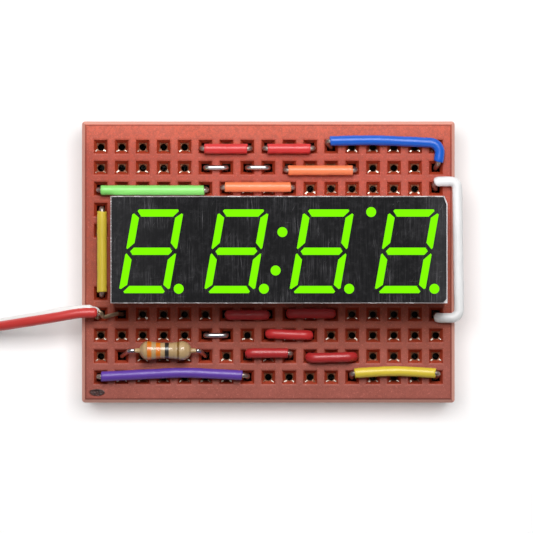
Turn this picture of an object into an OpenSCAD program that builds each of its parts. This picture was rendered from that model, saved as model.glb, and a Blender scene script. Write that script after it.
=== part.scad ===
// Four-digit seven segment display module: the display is plugged into a small
// solderless breadboard and wired with jumpers, bare links, a resistor and two leads.
// Origin: middle of the underside. +X runs along the digits, +Z is the face side.

/* [Breadboard] */
// Number of contact columns
columns = 17; // [17:1:20]
// Rows of sockets on each side of the middle
rows_per_bank = 5; // [5:1:6]
// Distance between neighbouring sockets
pitch = 2.54; // [2.5:0.01:2.6]
// Distance across the middle between the two banks
bank_gap = 7.62; // [7.4:0.02:7.8]
// From the outer sockets to the board's short sides
side_margin = 2.28; // [1.9:0.02:3]
// From the outer sockets to the board's long sides
end_margin = 3.08; // [2.9:0.02:4]
// Height of the moulded board
body_h = 8.5; // [8.3:0.1:9.5]
// Thickness of the plate that holds the sockets
plate_t = 1.7; // [1.4:0.1:2]
// Width of a socket at the surface
socket_w = 1.7; // [1.6:0.05:1.8]
// Width of a socket at its throat
throat_w = 1; // [0.9:0.05:1.2]
// Depth of the sloped part of a socket
funnel_depth = 0.8; // [0.6:0.1:1]
// Bevel along the top edges
bevel = 0.45; // [0.2:0.05:0.8]
// Radius of the upright corners
corner_r = 0.4; // [0.2:0.1:1]
// Thickness of the foam pad under the board
foam_t = 0.8; // [0.5:0.1:1.5]
// Thickness of the paper that covers the pad's glue
liner_t = 0.1; // [0.1:0.05:0.3]
// How far pad and paper stay inside the board's edge
pad_inset = 0.3; // [0.1:0.1:1]

/* [Contact clips] */
// Width of a clip at its base
clip_w = 1.8; // [1.6:0.05:1.9]
// Thickness of the clip's sheet
clip_t = 0.2; // [0.15:0.01:0.25]
// Gap between the clips and the plate above them
clip_headroom = 0.4; // [0.3:0.1:0.8]
// Height of a clip's mouth above its pinch point
pinch_drop = 1.8; // [1.4:0.1:2.4]
// Width between the leaves at the clip's mouth
mouth_w = 1.1; // [1:0.05:1.2]
// Slot between neighbouring pairs of leaves
leaf_slot = 0.5; // [0.3:0.1:0.8]

/* [Display] */
// Length of the display
display_l = 40.18; // [39.9:0.02:42]
// Width of the display
display_w = 12.8; // [12.6:0.1:13.4]
// Height of the display above the board
display_h = 7; // [6:0.1:9]
// How far the display's middle lies behind its pins' middle
display_shift = 0.2; // [0:0.05:0.3]
// Thickness of the display's side walls
housing_wall = 0.5; // [0.3:0.05:0.6]
// Distance between neighbouring digits
digit_pitch = 10.16; // [9.9:0.02:10.2]
// Height of a digit
digit_h = 10; // [9.6:0.05:10.2]
// Width of a digit before it is slanted
digit_w = 6.06; // [5.8:0.02:6.3]
// Width of a segment
segment_w = 0.88; // [0.8:0.02:1]
// Slant of the digits
slant = 10; // [6:1:12]
// Diameter of the points and the colon
point_d = 1.3; // [1:0.05:1.4]
// Thickness of the black face film
film_t = 0.1; // [0.05:0.05:0.2]
// How far the film stays inside the housing's edge
film_inset = 0.12; // [0.06:0.02:0.4]
// Thickness of the display's circuit board
circuit_t = 1; // [0.8:0.1:1.6]
// Recess of the circuit board into the housing's underside
circuit_recess = 0.3; // [0.1:0.1:0.6]
// Width of a light-emitting die
die_w = 0.3; // [0.2:0.05:0.4]
// Height of a light-emitting die
die_h = 0.2; // [0.1:0.05:0.3]
// Diameter of a display pin
pin_d = 0.5; // [0.4:0.02:0.56]
// Length of a display pin below the display
pin_reach = 6; // [5:0.1:6.5]
// Number of pins in each row
pins_per_row = 8; // [6:1:8]

/* [Wiring] */
// Diameter of the jumpers' conductor
wire_d = 0.6; // [0.5:0.02:0.62]
// Diameter of the jumpers' sleeve
sleeve_d = 1.2; // [1.1:0.02:1.24]
// Bend radius where a sleeve bends down with its wire
bend_r = 0.75; // [0.66:0.01:0.8]
// Bend radius of bare wire beyond a square cut sleeve
sharp_r = 0.36; // [0.34:0.01:0.42]
// How deep a jumper's leg reaches into its socket
leg_depth = 6; // [5:0.1:6.5]
// Length of the resistor's body
resistor_l = 6.4; // [6:0.1:6.8]
// Diameter of the resistor's end bulbs
resistor_d = 2.3; // [2:0.05:2.4]
// Diameter of the resistor's waist
resistor_waist = 1.95; // [1.8:0.05:2]
// Diameter of the lacquer's ends on the leads
resistor_neck = 0.66; // [0.6:0.02:0.8]
// Length of the lacquer on each lead
resistor_neck_l = 0.5; // [0.3:0.1:0.6]
// Diameter of the resistor's leads
resistor_lead_d = 0.5; // [0.4:0.02:0.56]

/* [Power leads] */
// Diameter of the two power leads
lead_d = 1.2; // [1.1:0.01:1.2]
// Diameter of their bare ends
strand_d = 0.5; // [0.4:0.02:0.56]
// Turns of each lead in the coil
coil_turns = 2.9; // [2:0.1:3]
// Middle diameter of the coil
coil_d = 13.2; // [13:0.1:14]
// Width of the tie round the coil
tie_w = 2; // [1:0.5:4]
// Thickness of the tie
tie_t = 0.2; // [0.1:0.05:0.3]

/* [Hidden] */

$fn = 48;
round_fn = 64;
eps = 0.01;

// Clearances
slide_gap = 0.02;
rest_gap = 0.05;
fit_gap = 0.05;
film_gap = 0.005;

// Levels, from the surface that the board lies on
pad_z = liner_t;
body_z = liner_t + foam_t;
board_top = body_z + body_h;
channel_top = board_top - plate_t;
circuit_z = board_top + circuit_recess;
cell_z = circuit_z + circuit_t;
display_top = board_top + display_h;
guide_z = cell_z + die_h + fit_gap;

// Board plan
grid_l = (columns - 1) * pitch;
bank_w = (rows_per_bank - 1) * pitch;
grid_w = 2 * bank_w + bank_gap;
board_l = grid_l + 2 * side_margin;
board_w = grid_w + 2 * end_margin;
bank_y = bank_gap / 2 + bank_w / 2;

// Channels under the plate, one for each clip
channel_w = clip_w + 4 * fit_gap;
channel_l = bank_w + socket_w + 2 * fit_gap;
clip_l = channel_l - 2 * fit_gap;
clip_h = body_h - plate_t - clip_headroom;
pinch_h = clip_h - pinch_drop;

// A socket's place: column from the left, row counted from the rear edge
function row_y(r) = r <= rows_per_bank
    ? bank_gap / 2 + (rows_per_bank - r) * pitch
    : -bank_gap / 2 - (r - rows_per_bank - 1) * pitch;
function hole(c, r) = [(c - (columns + 1) / 2) * pitch, row_y(r)];

// Display plan: its pins stand in rows 4 and 6, from column 6 on
pin_rear_row = rows_per_bank - 1;
pin_front_row = rows_per_bank + 1;
pin_first_column = 6;
pin_last_column = pin_first_column + pins_per_row - 1;
pin_mid_x = (hole(pin_first_column, 1)[0] + hole(pin_last_column, 1)[0]) / 2;
pin_mid_y = (row_y(pin_rear_row) + row_y(pin_front_row)) / 2;
display_y = pin_mid_y + display_shift;
film_cut = 0.4;
housing_cut_x = 0.36;
housing_cut_y = 0.9;
digit_count = 4;

// Segment outline, measured from the digit's middle before it is slanted
tip_cut = 0.2;
mitre = 0.26;
shoulder = 1;
window_gap = 0.05;
point_x = digit_w / 2 + 1.04;
point_y = -digit_h / 2 + 0.53;
colon_y = 2.29;
apostrophe_y = digit_h / 2 - 0.32;

// Wires
sleeve_bore = wire_d + 3 * slide_gap;
leg_end_z = board_top - leg_depth;
lean_z = board_top - funnel_depth;
lean_r = 0.5;
sleeve_run_z = board_top + sleeve_d / 2 + rest_gap;
link_run_z = board_top + wire_d / 2 + rest_gap;
link_bend_r = 0.5;
pinch_w = wire_d + 2 * slide_gap;
wire_sides = 10;
arc_step = 24;

// Resistor
resistor_z = board_top + resistor_d / 2 + rest_gap;
resistor_mid = [hole(4, 9)[0] + 0.26, hole(4, 9)[1] + 0.72];
bulb_x = 0.66 * resistor_l / 2;
waist_x = 0.2 * resistor_l / 2;
band_paint = 0.03;

// Power leads
strand_z = board_top + strand_d / 2 + rest_gap;
lead_z = board_top + lead_d / 2 + rest_gap;
low_layer_z = tie_t + lead_d / 2;
high_layer_z = low_layer_z + lead_d + slide_gap;
coil_band = coil_turns * (lead_d + slide_gap);
coil_in_r = coil_d / 2 - coil_band / 2;
coil_out_r = coil_d / 2 + coil_band / 2;
entry_angle = 99;
entry_run = 5;
// The routes are measured from the socket of column 1 and row 7, where the leads come in.
// The third number is the share of the height that is left: 1 on the board, 0 at the coil.
lead_socket = hole(1, 7);
coil_mid = lead_socket + [-29.68, -12.35];
red_over_white = 1.16;
red_plan = [[-0.33, 0.25, 1], [-2.58, 0.15, 1.0055], [-4.88, -0.25, 0.9945], [-7.28, -0.65, 0.9398],
    [-9.78, -1.05, 0.8412], [-12.28, -1.45, 0.7097], [-14.78, -1.75, 0.5564], [-17.18, -2.05, 0.3921],
    [-19.58, -2.35, 0.2388], [-21.68, -2.65, 0.1183], [-23.88, -2.98, 0.0307]];
white_plan = [[-1.4, 0.57, 1], [-2.58, 0.52, 1], [-4.78, 0.25, 0.9784], [-7.18, -0.25, 0.9081],
    [-9.48, -0.65, 0.7892], [-11.78, -1.05, 0.6378], [-13.98, -1.45, 0.4649], [-16.28, -1.85, 0.2919],
    [-18.78, -2.25, 0.1514], [-21.38, -2.65, 0.0432], [-23.68, -2.95, 0.013]];
function route(plan, high, low) = [for (p = plan)
    [lead_socket[0] + p[0], lead_socket[1] + p[1], low + (high - low) * p[2]]];
red_route = route(red_plan, lead_z + red_over_white, high_layer_z);
white_route = route(white_plan, lead_z, low_layer_z);
lead_sides = 8;

body_colour = [0.78, 0.33, 0.27];
clip_colour = [0.85, 0.82, 0.74];
tin_colour = [0.78, 0.79, 0.8];
red_colour = [0.84, 0.22, 0.26];
orange_colour = [0.97, 0.55, 0.36];
blue_colour = [0.1, 0.35, 0.88];
green_colour = [0.4, 0.84, 0.4];
yellow_colour = [0.87, 0.78, 0.2];
purple_colour = [0.42, 0.28, 0.68];
white_colour = [0.94, 0.94, 0.94];
lit_colour = [0.52, 1, 0];

// Paths: each vertex is [point, bend radius]
function unit(v) = v / norm(v);
function bend_angle(a, b, c) = acos(max(-1, min(1, unit(b - a) * unit(c - b))));
function setback(path, i) = path[i][1] <= 0 ? 0
    : path[i][1] * tan(bend_angle(path[i - 1][0], path[i][0], path[i + 1][0]) / 2);
function side_of(d) = unit(cross(abs(d[2]) > 0.9 ? [1, 0, 0] : [0, 0, 1], d));
function placed(x, y, z, p) = [[x[0], y[0], z[0], p[0]], [x[1], y[1], z[1], p[1]],
    [x[2], y[2], z[2], p[2]], [0, 0, 0, 1]];

// Straight round bar from a to b
module bar(a, b, d) {
    along = unit(b - a);
    multmatrix(placed(side_of(along), cross(along, side_of(along)), along, a))
        cylinder(d = d, h = norm(b - a));
}

// Points along the bend at vertex i of a path, between two shares of its angle
function arc(path, i, first = 0, last = 1) =
    let (u = unit(path[i][0] - path[i - 1][0]), v = unit(path[i + 1][0] - path[i][0]))
    let (turn = bend_angle(path[i - 1][0], path[i][0], path[i + 1][0]), r = path[i][1])
    turn < 0.5 ? [path[i][0]] :
    let (inward = cross(unit(cross(u, v)), u), centre = path[i][0] - u * setback(path, i) + inward * r)
    let (steps = max(2, ceil((last - first) * turn / arc_step)))
    [for (k = [0 : steps]) let (a = turn * (first + (last - first) * k / steps))
        centre - inward * r * cos(a) + u * r * sin(a)];
function all_arcs(path, from, to) = [for (i = [from : 1 : to]) each arc(path, i)];

// Tangents along a run of points, and a side vector carried along it without twist
function tangents(run) = let (last = len(run) - 1) [for (i = [0 : last])
    i == 0 ? unit(run[1] - run[0]) : i == last ? unit(run[last] - run[last - 1])
    : unit(unit(run[i + 1] - run[i]) + unit(run[i] - run[i - 1]))];
function carried(along, side, i = 0) = i >= len(along) ? [] :
    let (s = unit(side - along[i] * (along[i] * side)))
    concat([s], carried(along, s, i + 1));

// Rings of points round a run, one at each of its points
function rings(run, d, sides) = let (along = tangents(run), side = carried(along, side_of(along[0])))
    [for (i = [0 : len(run) - 1], k = [0 : sides - 1]) let (a = 360 * (k + 0.5) / sides)
        run[i] + (side[i] * cos(a) + cross(along[i], side[i]) * sin(a)) * d / 2];
function wall_faces(count, sides, start) = [for (i = [0 : count - 2], k = [0 : sides - 1])
    let (next = (k + 1) % sides, here = start + i * sides, there = here + sides)
    [here + k, there + k, there + next, here + next]];
function reversed_faces(faces) = [for (f = faces) [f[3], f[2], f[1], f[0]]];

// Solid round rod along a run of points
module rod(run, d, sides) {
    last = (len(run) - 1) * sides;
    polyhedron(rings(run, d, sides), concat([[for (k = [0 : sides - 1]) k]],
        wall_faces(len(run), sides, 0), [[for (k = [sides - 1 : -1 : 0]) last + k]]));
}

// Hollow tube along a run of points
module hollow_rod(run, d, bore, sides) {
    count = len(run);
    inner = count * sides;
    last = (count - 1) * sides;
    near_cap = [for (k = [0 : sides - 1]) let (next = (k + 1) % sides) [k, next, inner + next, inner + k]];
    far_cap = [for (k = [0 : sides - 1]) let (next = (k + 1) % sides)
        [last + next, last + k, inner + last + k, inner + last + next]];
    polyhedron(concat(rings(run, d, sides), rings(run, bore, sides)),
        concat(wall_faces(count, sides, 0), reversed_faces(wall_faces(count, sides, inner)),
            near_cap, far_cap));
}

// A whole round wire
module wire(path, d) {
    last = len(path) - 1;
    rod(concat([path[0][0]], all_arcs(path, 1, last - 1), [path[last][0]]), d, wire_sides);
}

// A sleeve between the second bend from each end, reaching some degrees round both of these bends
module sleeve(path, cover_a, cover_b) {
    last = len(path) - 1;
    turn_a = bend_angle(path[1][0], path[2][0], path[3][0]);
    turn_b = bend_angle(path[last - 3][0], path[last - 2][0], path[last - 1][0]);
    run = concat(arc(path, 2, 1 - cover_a / turn_a, 1), all_arcs(path, 3, last - 3),
        arc(path, last - 2, 0, cover_b / turn_b));
    hollow_rod(run, sleeve_d, sleeve_bore, wire_sides);
}

// A jumper's path: both legs rise out of their sockets and lean to where the run starts.
// A lean is how far, along X and Y, and then the radius of the bend into the run.
function leg_up(h, lean, z) = [[[h[0], h[1], leg_end_z], 0], [[h[0], h[1], lean_z], lean_r],
    [[h[0] + lean[0], h[1] + lean[1], z], lean[2]]];
function leg_down(h, lean, z) = [[[h[0] + lean[0], h[1] + lean[1], z], lean[2]],
    [[h[0], h[1], lean_z], lean_r], [[h[0], h[1], leg_end_z], 0]];
function jumper(a, lean_a, b, lean_b, between = [], z = sleeve_run_z) =
    concat(leg_up(a, lean_a, z), between, leg_down(b, lean_b, z));
// A vertex of the run, placed from a socket
function run_at(h, shift, r, lift = 0) = [[h[0] + shift[0], h[1] + shift[1], sleeve_run_z + lift], r];

// Leans of the jumpers next to the display, which keep clear of its long sides
beside_display = display_w / 2 + rest_gap + sleeve_d / 2;
function behind(row, lean) = [lean[0], max(lean[1], display_y + beside_display - row_y(row)), lean[2]];
function in_front(row, lean) = [lean[0], min(lean[1], display_y - beside_display - row_y(row)), lean[2]];

red_a = jumper(hole(6, 1), [-0.65, -0.26, sharp_r], hole(8, 1), [0.5, -0.26, sharp_r]);
red_b = jumper(hole(9, 1), [-0.65, -0.25, sharp_r], hole(11, 1), [0.5, -0.25, sharp_r]);
red_c = jumper(hole(7, 7), in_front(7, [0, -0.06, bend_r]), hole(9, 7), in_front(7, [0, -0.06, bend_r]));
red_d = jumper(hole(10, 7), in_front(7, [-0.1, 0.12, bend_r]), hole(12, 7), in_front(7, [0.2, 0.12, bend_r]));
red_e = jumper(hole(9, 8), [0, 0.25, bend_r], hole(11, 8), [0, 0.05, bend_r],
    [run_at(hole(10, 8), [0, 0.1], 6)]);
red_f = jumper(hole(8, 9), [-0.1, 0.4, bend_r], hole(10, 9), [0.23, 0.42, sharp_r]);
red_g = jumper(hole(11, 9), [-0.22, -0.2, bend_r], hole(13, 9), [0.36, -0.05, bend_r]);
orange_a = jumper(hole(10, 2), [-0.7, -0.33, sharp_r], hole(13, 2), [0.56, -0.33, sharp_r]);
orange_b = jumper(hole(7, 3), behind(3, [-0.72, 0.19, sharp_r]),
    hole(10, 3), behind(3, [0.65, 0.19, sharp_r]));
green = jumper(hole(1, 3), behind(3, [-0.39, -0.2, sharp_r]), hole(6, 3), behind(3, [0.25, -0.2, sharp_r]));
blue = jumper(hole(12, 1), [-0.65, 0.66, sharp_r], hole(17, 2), [0.25, 0.5, bend_r],
    [run_at(hole(14, 1), [0, 0.8], 60), run_at(hole(17, 1), [0.58, 0.42], 1.2)]);
yellow_a = jumper(hole(1, 4), [0.19, 0.18, sharp_r], hole(1, 6), [0.19, -0.25, sharp_r]);
yellow_b = jumper(hole(13, 10), [-0.09, 0.5, sharp_r], hole(17, 10), [0.35, 0.5, sharp_r],
    [run_at(hole(15, 10), [0, 0.82], 30)]);
purple = jumper(hole(1, 10), [-0.36, 0.09, sharp_r], hole(8, 10), [0.1, 0.23, bend_r],
    [run_at(hole(5, 10), [0, 0.62], 40)]);
white_arm_x = board_l / 2 + 0.25;
white_far_x = board_l / 2 + 0.5;
white_rear_y = hole(17, 3)[1] + 0.86;
white_front_y = hole(17, 7)[1] - 0.42;
white = jumper(hole(17, 3), [-0.45, 0.86, bend_r], hole(17, 7), [-0.16, -0.42, bend_r],
    [[[white_arm_x, white_rear_y, sleeve_run_z], 0.8], [[white_far_x, white_front_y, sleeve_run_z], 1]]);

function link(a, b) = [[[a[0], a[1], leg_end_z], 0], [[a[0], a[1], link_run_z], link_bend_r],
    [[b[0], b[1], link_run_z], link_bend_r], [[b[0], b[1], leg_end_z], 0]];

// Breadboard
module rounded_plan(l, w, r) {
    square([l - 2 * r, w], center = true);
    square([l, w - 2 * r], center = true);
    for (sx = [-1, 1], sy = [-1, 1])
        translate([sx * (l / 2 - r), sy * (w / 2 - r)])
            circle(r = r);
}

// Block with bevelled top edges: the common part of its plan and its two side views
module bevelled_block(l, w, h, b) {
    intersection() {
        linear_extrude(h)
            rounded_plan(l, w, corner_r);
        rotate([90, 0, 0])
            linear_extrude(w + 2, center = true)
                polygon(bevelled_view(l, h, b));
        rotate([90, 0, 90])
            linear_extrude(l + 2, center = true)
                polygon(bevelled_view(w, h, b));
    }
}
function bevelled_view(l, h, b) = [[-l / 2, 0], [l / 2, 0], [l / 2, h - b], [l / 2 - b, h],
    [b - l / 2, h], [-l / 2, h - b]];

// View of one socket: a throat through the plate, then a funnel up to the surface
function socket_view(x) = let (t = throat_w / 2, s = socket_w / 2, over = eps * (s - t) / funnel_depth)
    [[x - t, channel_top - eps], [x + t, channel_top - eps], [x + t, board_top - funnel_depth],
     [x + s + over, board_top + eps], [x - s - over, board_top + eps], [x - t, board_top - funnel_depth]];

// All sockets: the common part of grooves along both directions
module sockets() {
    intersection() {
        rotate([90, 0, 0])
            linear_extrude(board_w, center = true)
                for (c = [1 : columns])
                    polygon(socket_view(hole(c, 1)[0]));
        rotate([90, 0, 90])
            linear_extrude(board_l, center = true)
                for (r = [1 : 2 * rows_per_bank])
                    polygon(socket_view(row_y(r)));
    }
}

// Shallow oblong pit beside the front left corner
pit_l = 1.9;
pit_w = 0.9;
pit_depth = 0.15;
pit_at = [1.74, 1.1];
module corner_pit() {
    translate([pit_at[0] - board_l / 2, pit_at[1] - board_w / 2, board_top - pit_depth])
        linear_extrude(pit_depth + eps)
            union() {
                square([pit_l - pit_w, pit_w], center = true);
                for (s = [-1, 1])
                    translate([s * (pit_l - pit_w) / 2, 0])
                        circle(d = pit_w);
            }
}

module breadboard_body() {
    color(body_colour)
        difference() {
            translate([0, 0, body_z])
                bevelled_block(board_l, board_w, body_h, bevel);
            sockets();
            for (c = [1 : columns], s = [-1, 1])
                translate([hole(c, 1)[0] - channel_w / 2, s * bank_y - channel_l / 2, body_z - eps])
                    cube([channel_w, channel_l, channel_top - body_z + eps]);
            corner_pit();
        }
}

// One clip: a base strip and two leaves that lean in to the pinch point and flare to the mouth
module leaf_view() {
    foot_x = clip_w / 2 - clip_t;
    pinch_x = pinch_w / 2;
    mouth_x = mouth_w / 2;
    polygon([[foot_x, 0], [foot_x + clip_t, 0], [foot_x + clip_t, clip_t * 4], [pinch_x + clip_t, pinch_h],
        [mouth_x + clip_t, clip_h], [mouth_x, clip_h], [pinch_x, pinch_h], [foot_x, clip_t * 4]]);
}
module contact_clip() {
    difference() {
        rotate([90, 0, 0])
            linear_extrude(clip_l, center = true)
                union() {
                    translate([-clip_w / 2, 0])
                        square([clip_w, clip_t]);
                    leaf_view();
                    mirror([1, 0])
                        leaf_view();
                }
        for (i = [1 : rows_per_bank - 1])
            translate([-clip_w, (i - rows_per_bank / 2) * pitch - leaf_slot / 2, clip_t * 3])
                cube([2 * clip_w, leaf_slot, clip_h]);
    }
}
module clip_bank(side) {
    color(clip_colour)
        for (c = [1 : columns])
            translate([hole(c, 1)[0], side * bank_y, body_z])
                contact_clip();
}
module rear_bank_clips() {
    clip_bank(1);
}
module front_bank_clips() {
    clip_bank(-1);
}

module pad(z, t) {
    translate([0, 0, z])
        linear_extrude(t)
            rounded_plan(board_l - 2 * pad_inset, board_w - 2 * pad_inset, corner_r);
}
module adhesive_foam_pad() {
    color([0.93, 0.92, 0.88])
        pad(pad_z, foam_t);
}
module release_liner() {
    color([0.86, 0.83, 0.74])
        pad(0, liner_t);
}

// Display
function slanted(p) = [p[0] + p[1] * tan(slant), p[1]];
function flipped(points) = [for (i = [len(points) - 1 : -1 : 0]) [-points[i][0], points[i][1]]];
function turned(points) = [for (p = points) -p];

// Outlines grow by g on every side, so that windows, cells and light guides share them
function top_bar(g) = let (w = digit_w / 2, h = digit_h / 2, s = segment_w)
    let (right = [[w - s - mitre + g, h - s - g], [w - mitre - 1.5 * tip_cut + g, h - tip_cut],
        [w - mitre - 2.3 * tip_cut + g, h + g]])
    concat(right, flipped(right));
function middle_bar(g) = let (w = digit_w / 2, s = segment_w)
    let (right = [[w - s + g, -s / 2 - g], [w - 0.6 * s + 1.4 * g, 0], [w - s + g, s / 2 + g]])
    concat(right, flipped(right));
function upper_right_bar(g) = let (w = digit_w / 2, h = digit_h / 2, s = segment_w)
    [[w + g, 2 * tip_cut - g], [w + g, h - 3 * tip_cut + g], [w - tip_cut, h - 2.4 * tip_cut + g],
     [w - s - g, h - shoulder + g / 2], [w - s - g, shoulder - g / 2], [w - 0.7 * tip_cut, 1.2 * tip_cut - g]];
function segments(g) = [top_bar(g), middle_bar(g), turned(top_bar(g)), upper_right_bar(g),
    flipped(upper_right_bar(g)), turned(upper_right_bar(g)), flipped(turned(upper_right_bar(g)))];

function digit_x(n) = pin_mid_x + (n - (digit_count + 1) / 2) * digit_pitch;
module digit_plan(n, g) {
    translate([digit_x(n), pin_mid_y]) {
        for (outline = segments(g))
            polygon([for (p = outline) slanted(p)]);
        translate(slanted([point_x, point_y]))
            circle(d = point_d + 2 * g, $fn = round_fn);
    }
}
module colon_plan(g) {
    for (s = [-1, 1])
        translate([pin_mid_x, pin_mid_y] + slanted([0, s * colon_y]))
            circle(d = point_d + 2 * g, $fn = round_fn);
}
module apostrophe_plan(g) {
    translate([pin_mid_x + digit_pitch, pin_mid_y] + slanted([0, apostrophe_y]))
        circle(d = point_d + 2 * g, $fn = round_fn);
}
module windows_plan(g) {
    for (n = [1 : digit_count])
        digit_plan(n, g);
    colon_plan(g);
    apostrophe_plan(g);
}

// Housing outline with its rear right corner cut off
module housing_plan(inset) {
    x = display_l / 2 - inset;
    y = display_w / 2 - inset;
    translate([pin_mid_x, display_y])
        polygon([[-x, -y], [x, -y], [x, y - housing_cut_y], [x - housing_cut_x, y], [-x, y]]);
}

module display_housing() {
    color([0.93, 0.92, 0.93])
        difference() {
            translate([0, 0, board_top])
                linear_extrude(display_h - film_t)
                    housing_plan(0);
            translate([0, 0, board_top - eps])
                linear_extrude(cell_z - board_top + eps)
                    housing_plan(housing_wall);
            translate([0, 0, cell_z - eps])
                linear_extrude(display_h)
                    windows_plan(window_gap);
        }
}

module display_face_film() {
    x = display_l / 2 - film_inset;
    y = display_w / 2 - film_inset;
    color([0.13, 0.13, 0.15])
        translate([0, 0, display_top - film_t])
            linear_extrude(film_t)
                difference() {
                    translate([pin_mid_x, display_y])
                        polygon([[-x, -y], [x - film_cut, -y], [x, film_cut - y], [x, y - housing_cut_y],
                            [x - housing_cut_x, y], [-x, y]]);
                    windows_plan(window_gap);
                }
}

module light_guides() {
    color(lit_colour)
        translate([0, 0, guide_z])
            linear_extrude(display_top - guide_z)
                children();
}
module digit_1_light_guides() {
    light_guides()
        digit_plan(1, 0);
}
module digit_2_light_guides() {
    light_guides()
        digit_plan(2, 0);
}
module digit_3_light_guides() {
    light_guides()
        digit_plan(3, 0);
}
module digit_4_light_guides() {
    light_guides()
        digit_plan(4, 0);
}
module colon_light_guides() {
    light_guides()
        colon_plan(0);
}
module apostrophe_light_guide() {
    light_guides()
        apostrophe_plan(0);
}

module display_circuit_board() {
    color([0.9, 0.88, 0.8])
        translate([0, 0, circuit_z])
            linear_extrude(circuit_t)
                difference() {
                    housing_plan(housing_wall + fit_gap);
                    for (c = [pin_first_column : pin_last_column], r = [pin_rear_row, pin_front_row])
                        translate(hole(c, r))
                            circle(d = pin_d + 2 * slide_gap, $fn = round_fn);
                }
}

// Middles of the segments, where the dies sit
function segment_middles() = let (x = digit_w / 2 - segment_w / 2, y = digit_h / 2 - segment_w / 2)
    [[0, y], [0, 0], [0, -y], [x, y / 2], [-x, y / 2], [x, -y / 2], [-x, -y / 2], [point_x, point_y]];
module die_at(p) {
    translate([p[0] - die_w / 2, p[1] - die_w / 2, cell_z])
        cube([die_w, die_w, die_h]);
}
module led_dies() {
    color([0.75, 0.9, 0.3]) {
        for (n = [1 : digit_count], p = segment_middles())
            die_at([digit_x(n), pin_mid_y] + slanted(p));
        for (s = [-1, 1])
            die_at([pin_mid_x, pin_mid_y] + slanted([0, s * colon_y]));
        die_at([pin_mid_x + digit_pitch, pin_mid_y] + slanted([0, apostrophe_y]));
    }
}

module pin_row(r) {
    color(tin_colour)
        for (c = [pin_first_column : pin_last_column])
            translate([hole(c, r)[0], hole(c, r)[1], board_top - pin_reach])
                cylinder(d = pin_d, h = pin_reach + circuit_recess + circuit_t);
}
module display_pins_rear_row() {
    pin_row(pin_rear_row);
}
module display_pins_front_row() {
    pin_row(pin_front_row);
}

// Jumpers: the two numbers are how far round its end bends each sleeve reaches, in degrees
module red_jumper_a_sleeve() {
    color(red_colour)
        sleeve(red_a, 2, 2);
}
module red_jumper_a_wire() {
    color(tin_colour)
        wire(red_a, wire_d);
}
module red_jumper_b_sleeve() {
    color(red_colour)
        sleeve(red_b, 2, 2);
}
module red_jumper_b_wire() {
    color(tin_colour)
        wire(red_b, wire_d);
}
module red_jumper_c_sleeve() {
    color(red_colour)
        sleeve(red_c, 45, 45);
}
module red_jumper_c_wire() {
    color(tin_colour)
        wire(red_c, wire_d);
}
module red_jumper_d_sleeve() {
    color(red_colour)
        sleeve(red_d, 60, 70);
}
module red_jumper_d_wire() {
    color(tin_colour)
        wire(red_d, wire_d);
}
module red_jumper_e_sleeve() {
    color(red_colour)
        sleeve(red_e, 61, 61);
}
module red_jumper_e_wire() {
    color(tin_colour)
        wire(red_e, wire_d);
}
module red_jumper_f_sleeve() {
    color(red_colour)
        sleeve(red_f, 52, 2);
}
module red_jumper_f_wire() {
    color(tin_colour)
        wire(red_f, wire_d);
}
module red_jumper_g_sleeve() {
    color(red_colour)
        sleeve(red_g, 80, 80);
}
module red_jumper_g_wire() {
    color(tin_colour)
        wire(red_g, wire_d);
}
module orange_jumper_a_sleeve() {
    color(orange_colour)
        sleeve(orange_a, 2, 2);
}
module orange_jumper_a_wire() {
    color(tin_colour)
        wire(orange_a, wire_d);
}
module orange_jumper_b_sleeve() {
    color(orange_colour)
        sleeve(orange_b, 2, 12);
}
module orange_jumper_b_wire() {
    color(tin_colour)
        wire(orange_b, wire_d);
}
module blue_jumper_sleeve() {
    color(blue_colour)
        sleeve(blue, 2, 20);
}
module blue_jumper_wire() {
    color(tin_colour)
        wire(blue, wire_d);
}
module green_jumper_sleeve() {
    color(green_colour)
        sleeve(green, 2, 2);
}
module green_jumper_wire() {
    color(tin_colour)
        wire(green, wire_d);
}
module white_jumper_sleeve() {
    color(white_colour)
        sleeve(white, 34, 50);
}
module white_jumper_wire() {
    color(tin_colour)
        wire(white, wire_d);
}
module yellow_jumper_a_sleeve() {
    color(yellow_colour)
        sleeve(yellow_a, 2, 2);
}
module yellow_jumper_a_wire() {
    color(tin_colour)
        wire(yellow_a, wire_d);
}
module yellow_jumper_b_sleeve() {
    color(yellow_colour)
        sleeve(yellow_b, 2, 2);
}
module yellow_jumper_b_wire() {
    color(tin_colour)
        wire(yellow_b, wire_d);
}
module purple_jumper_sleeve() {
    color(purple_colour)
        sleeve(purple, 2, 5);
}
module purple_jumper_wire() {
    color(tin_colour)
        wire(purple, wire_d);
}
module bare_link_a() {
    color(tin_colour)
        wire(link(hole(6, 2), hole(7, 2)), wire_d);
}
module bare_link_b() {
    color(tin_colour)
        wire(link(hole(8, 2), hole(9, 2)), wire_d);
}
module bare_link_c() {
    color(tin_colour)
        wire(link(hole(6, 8), hole(7, 8)), wire_d);
}

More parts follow.
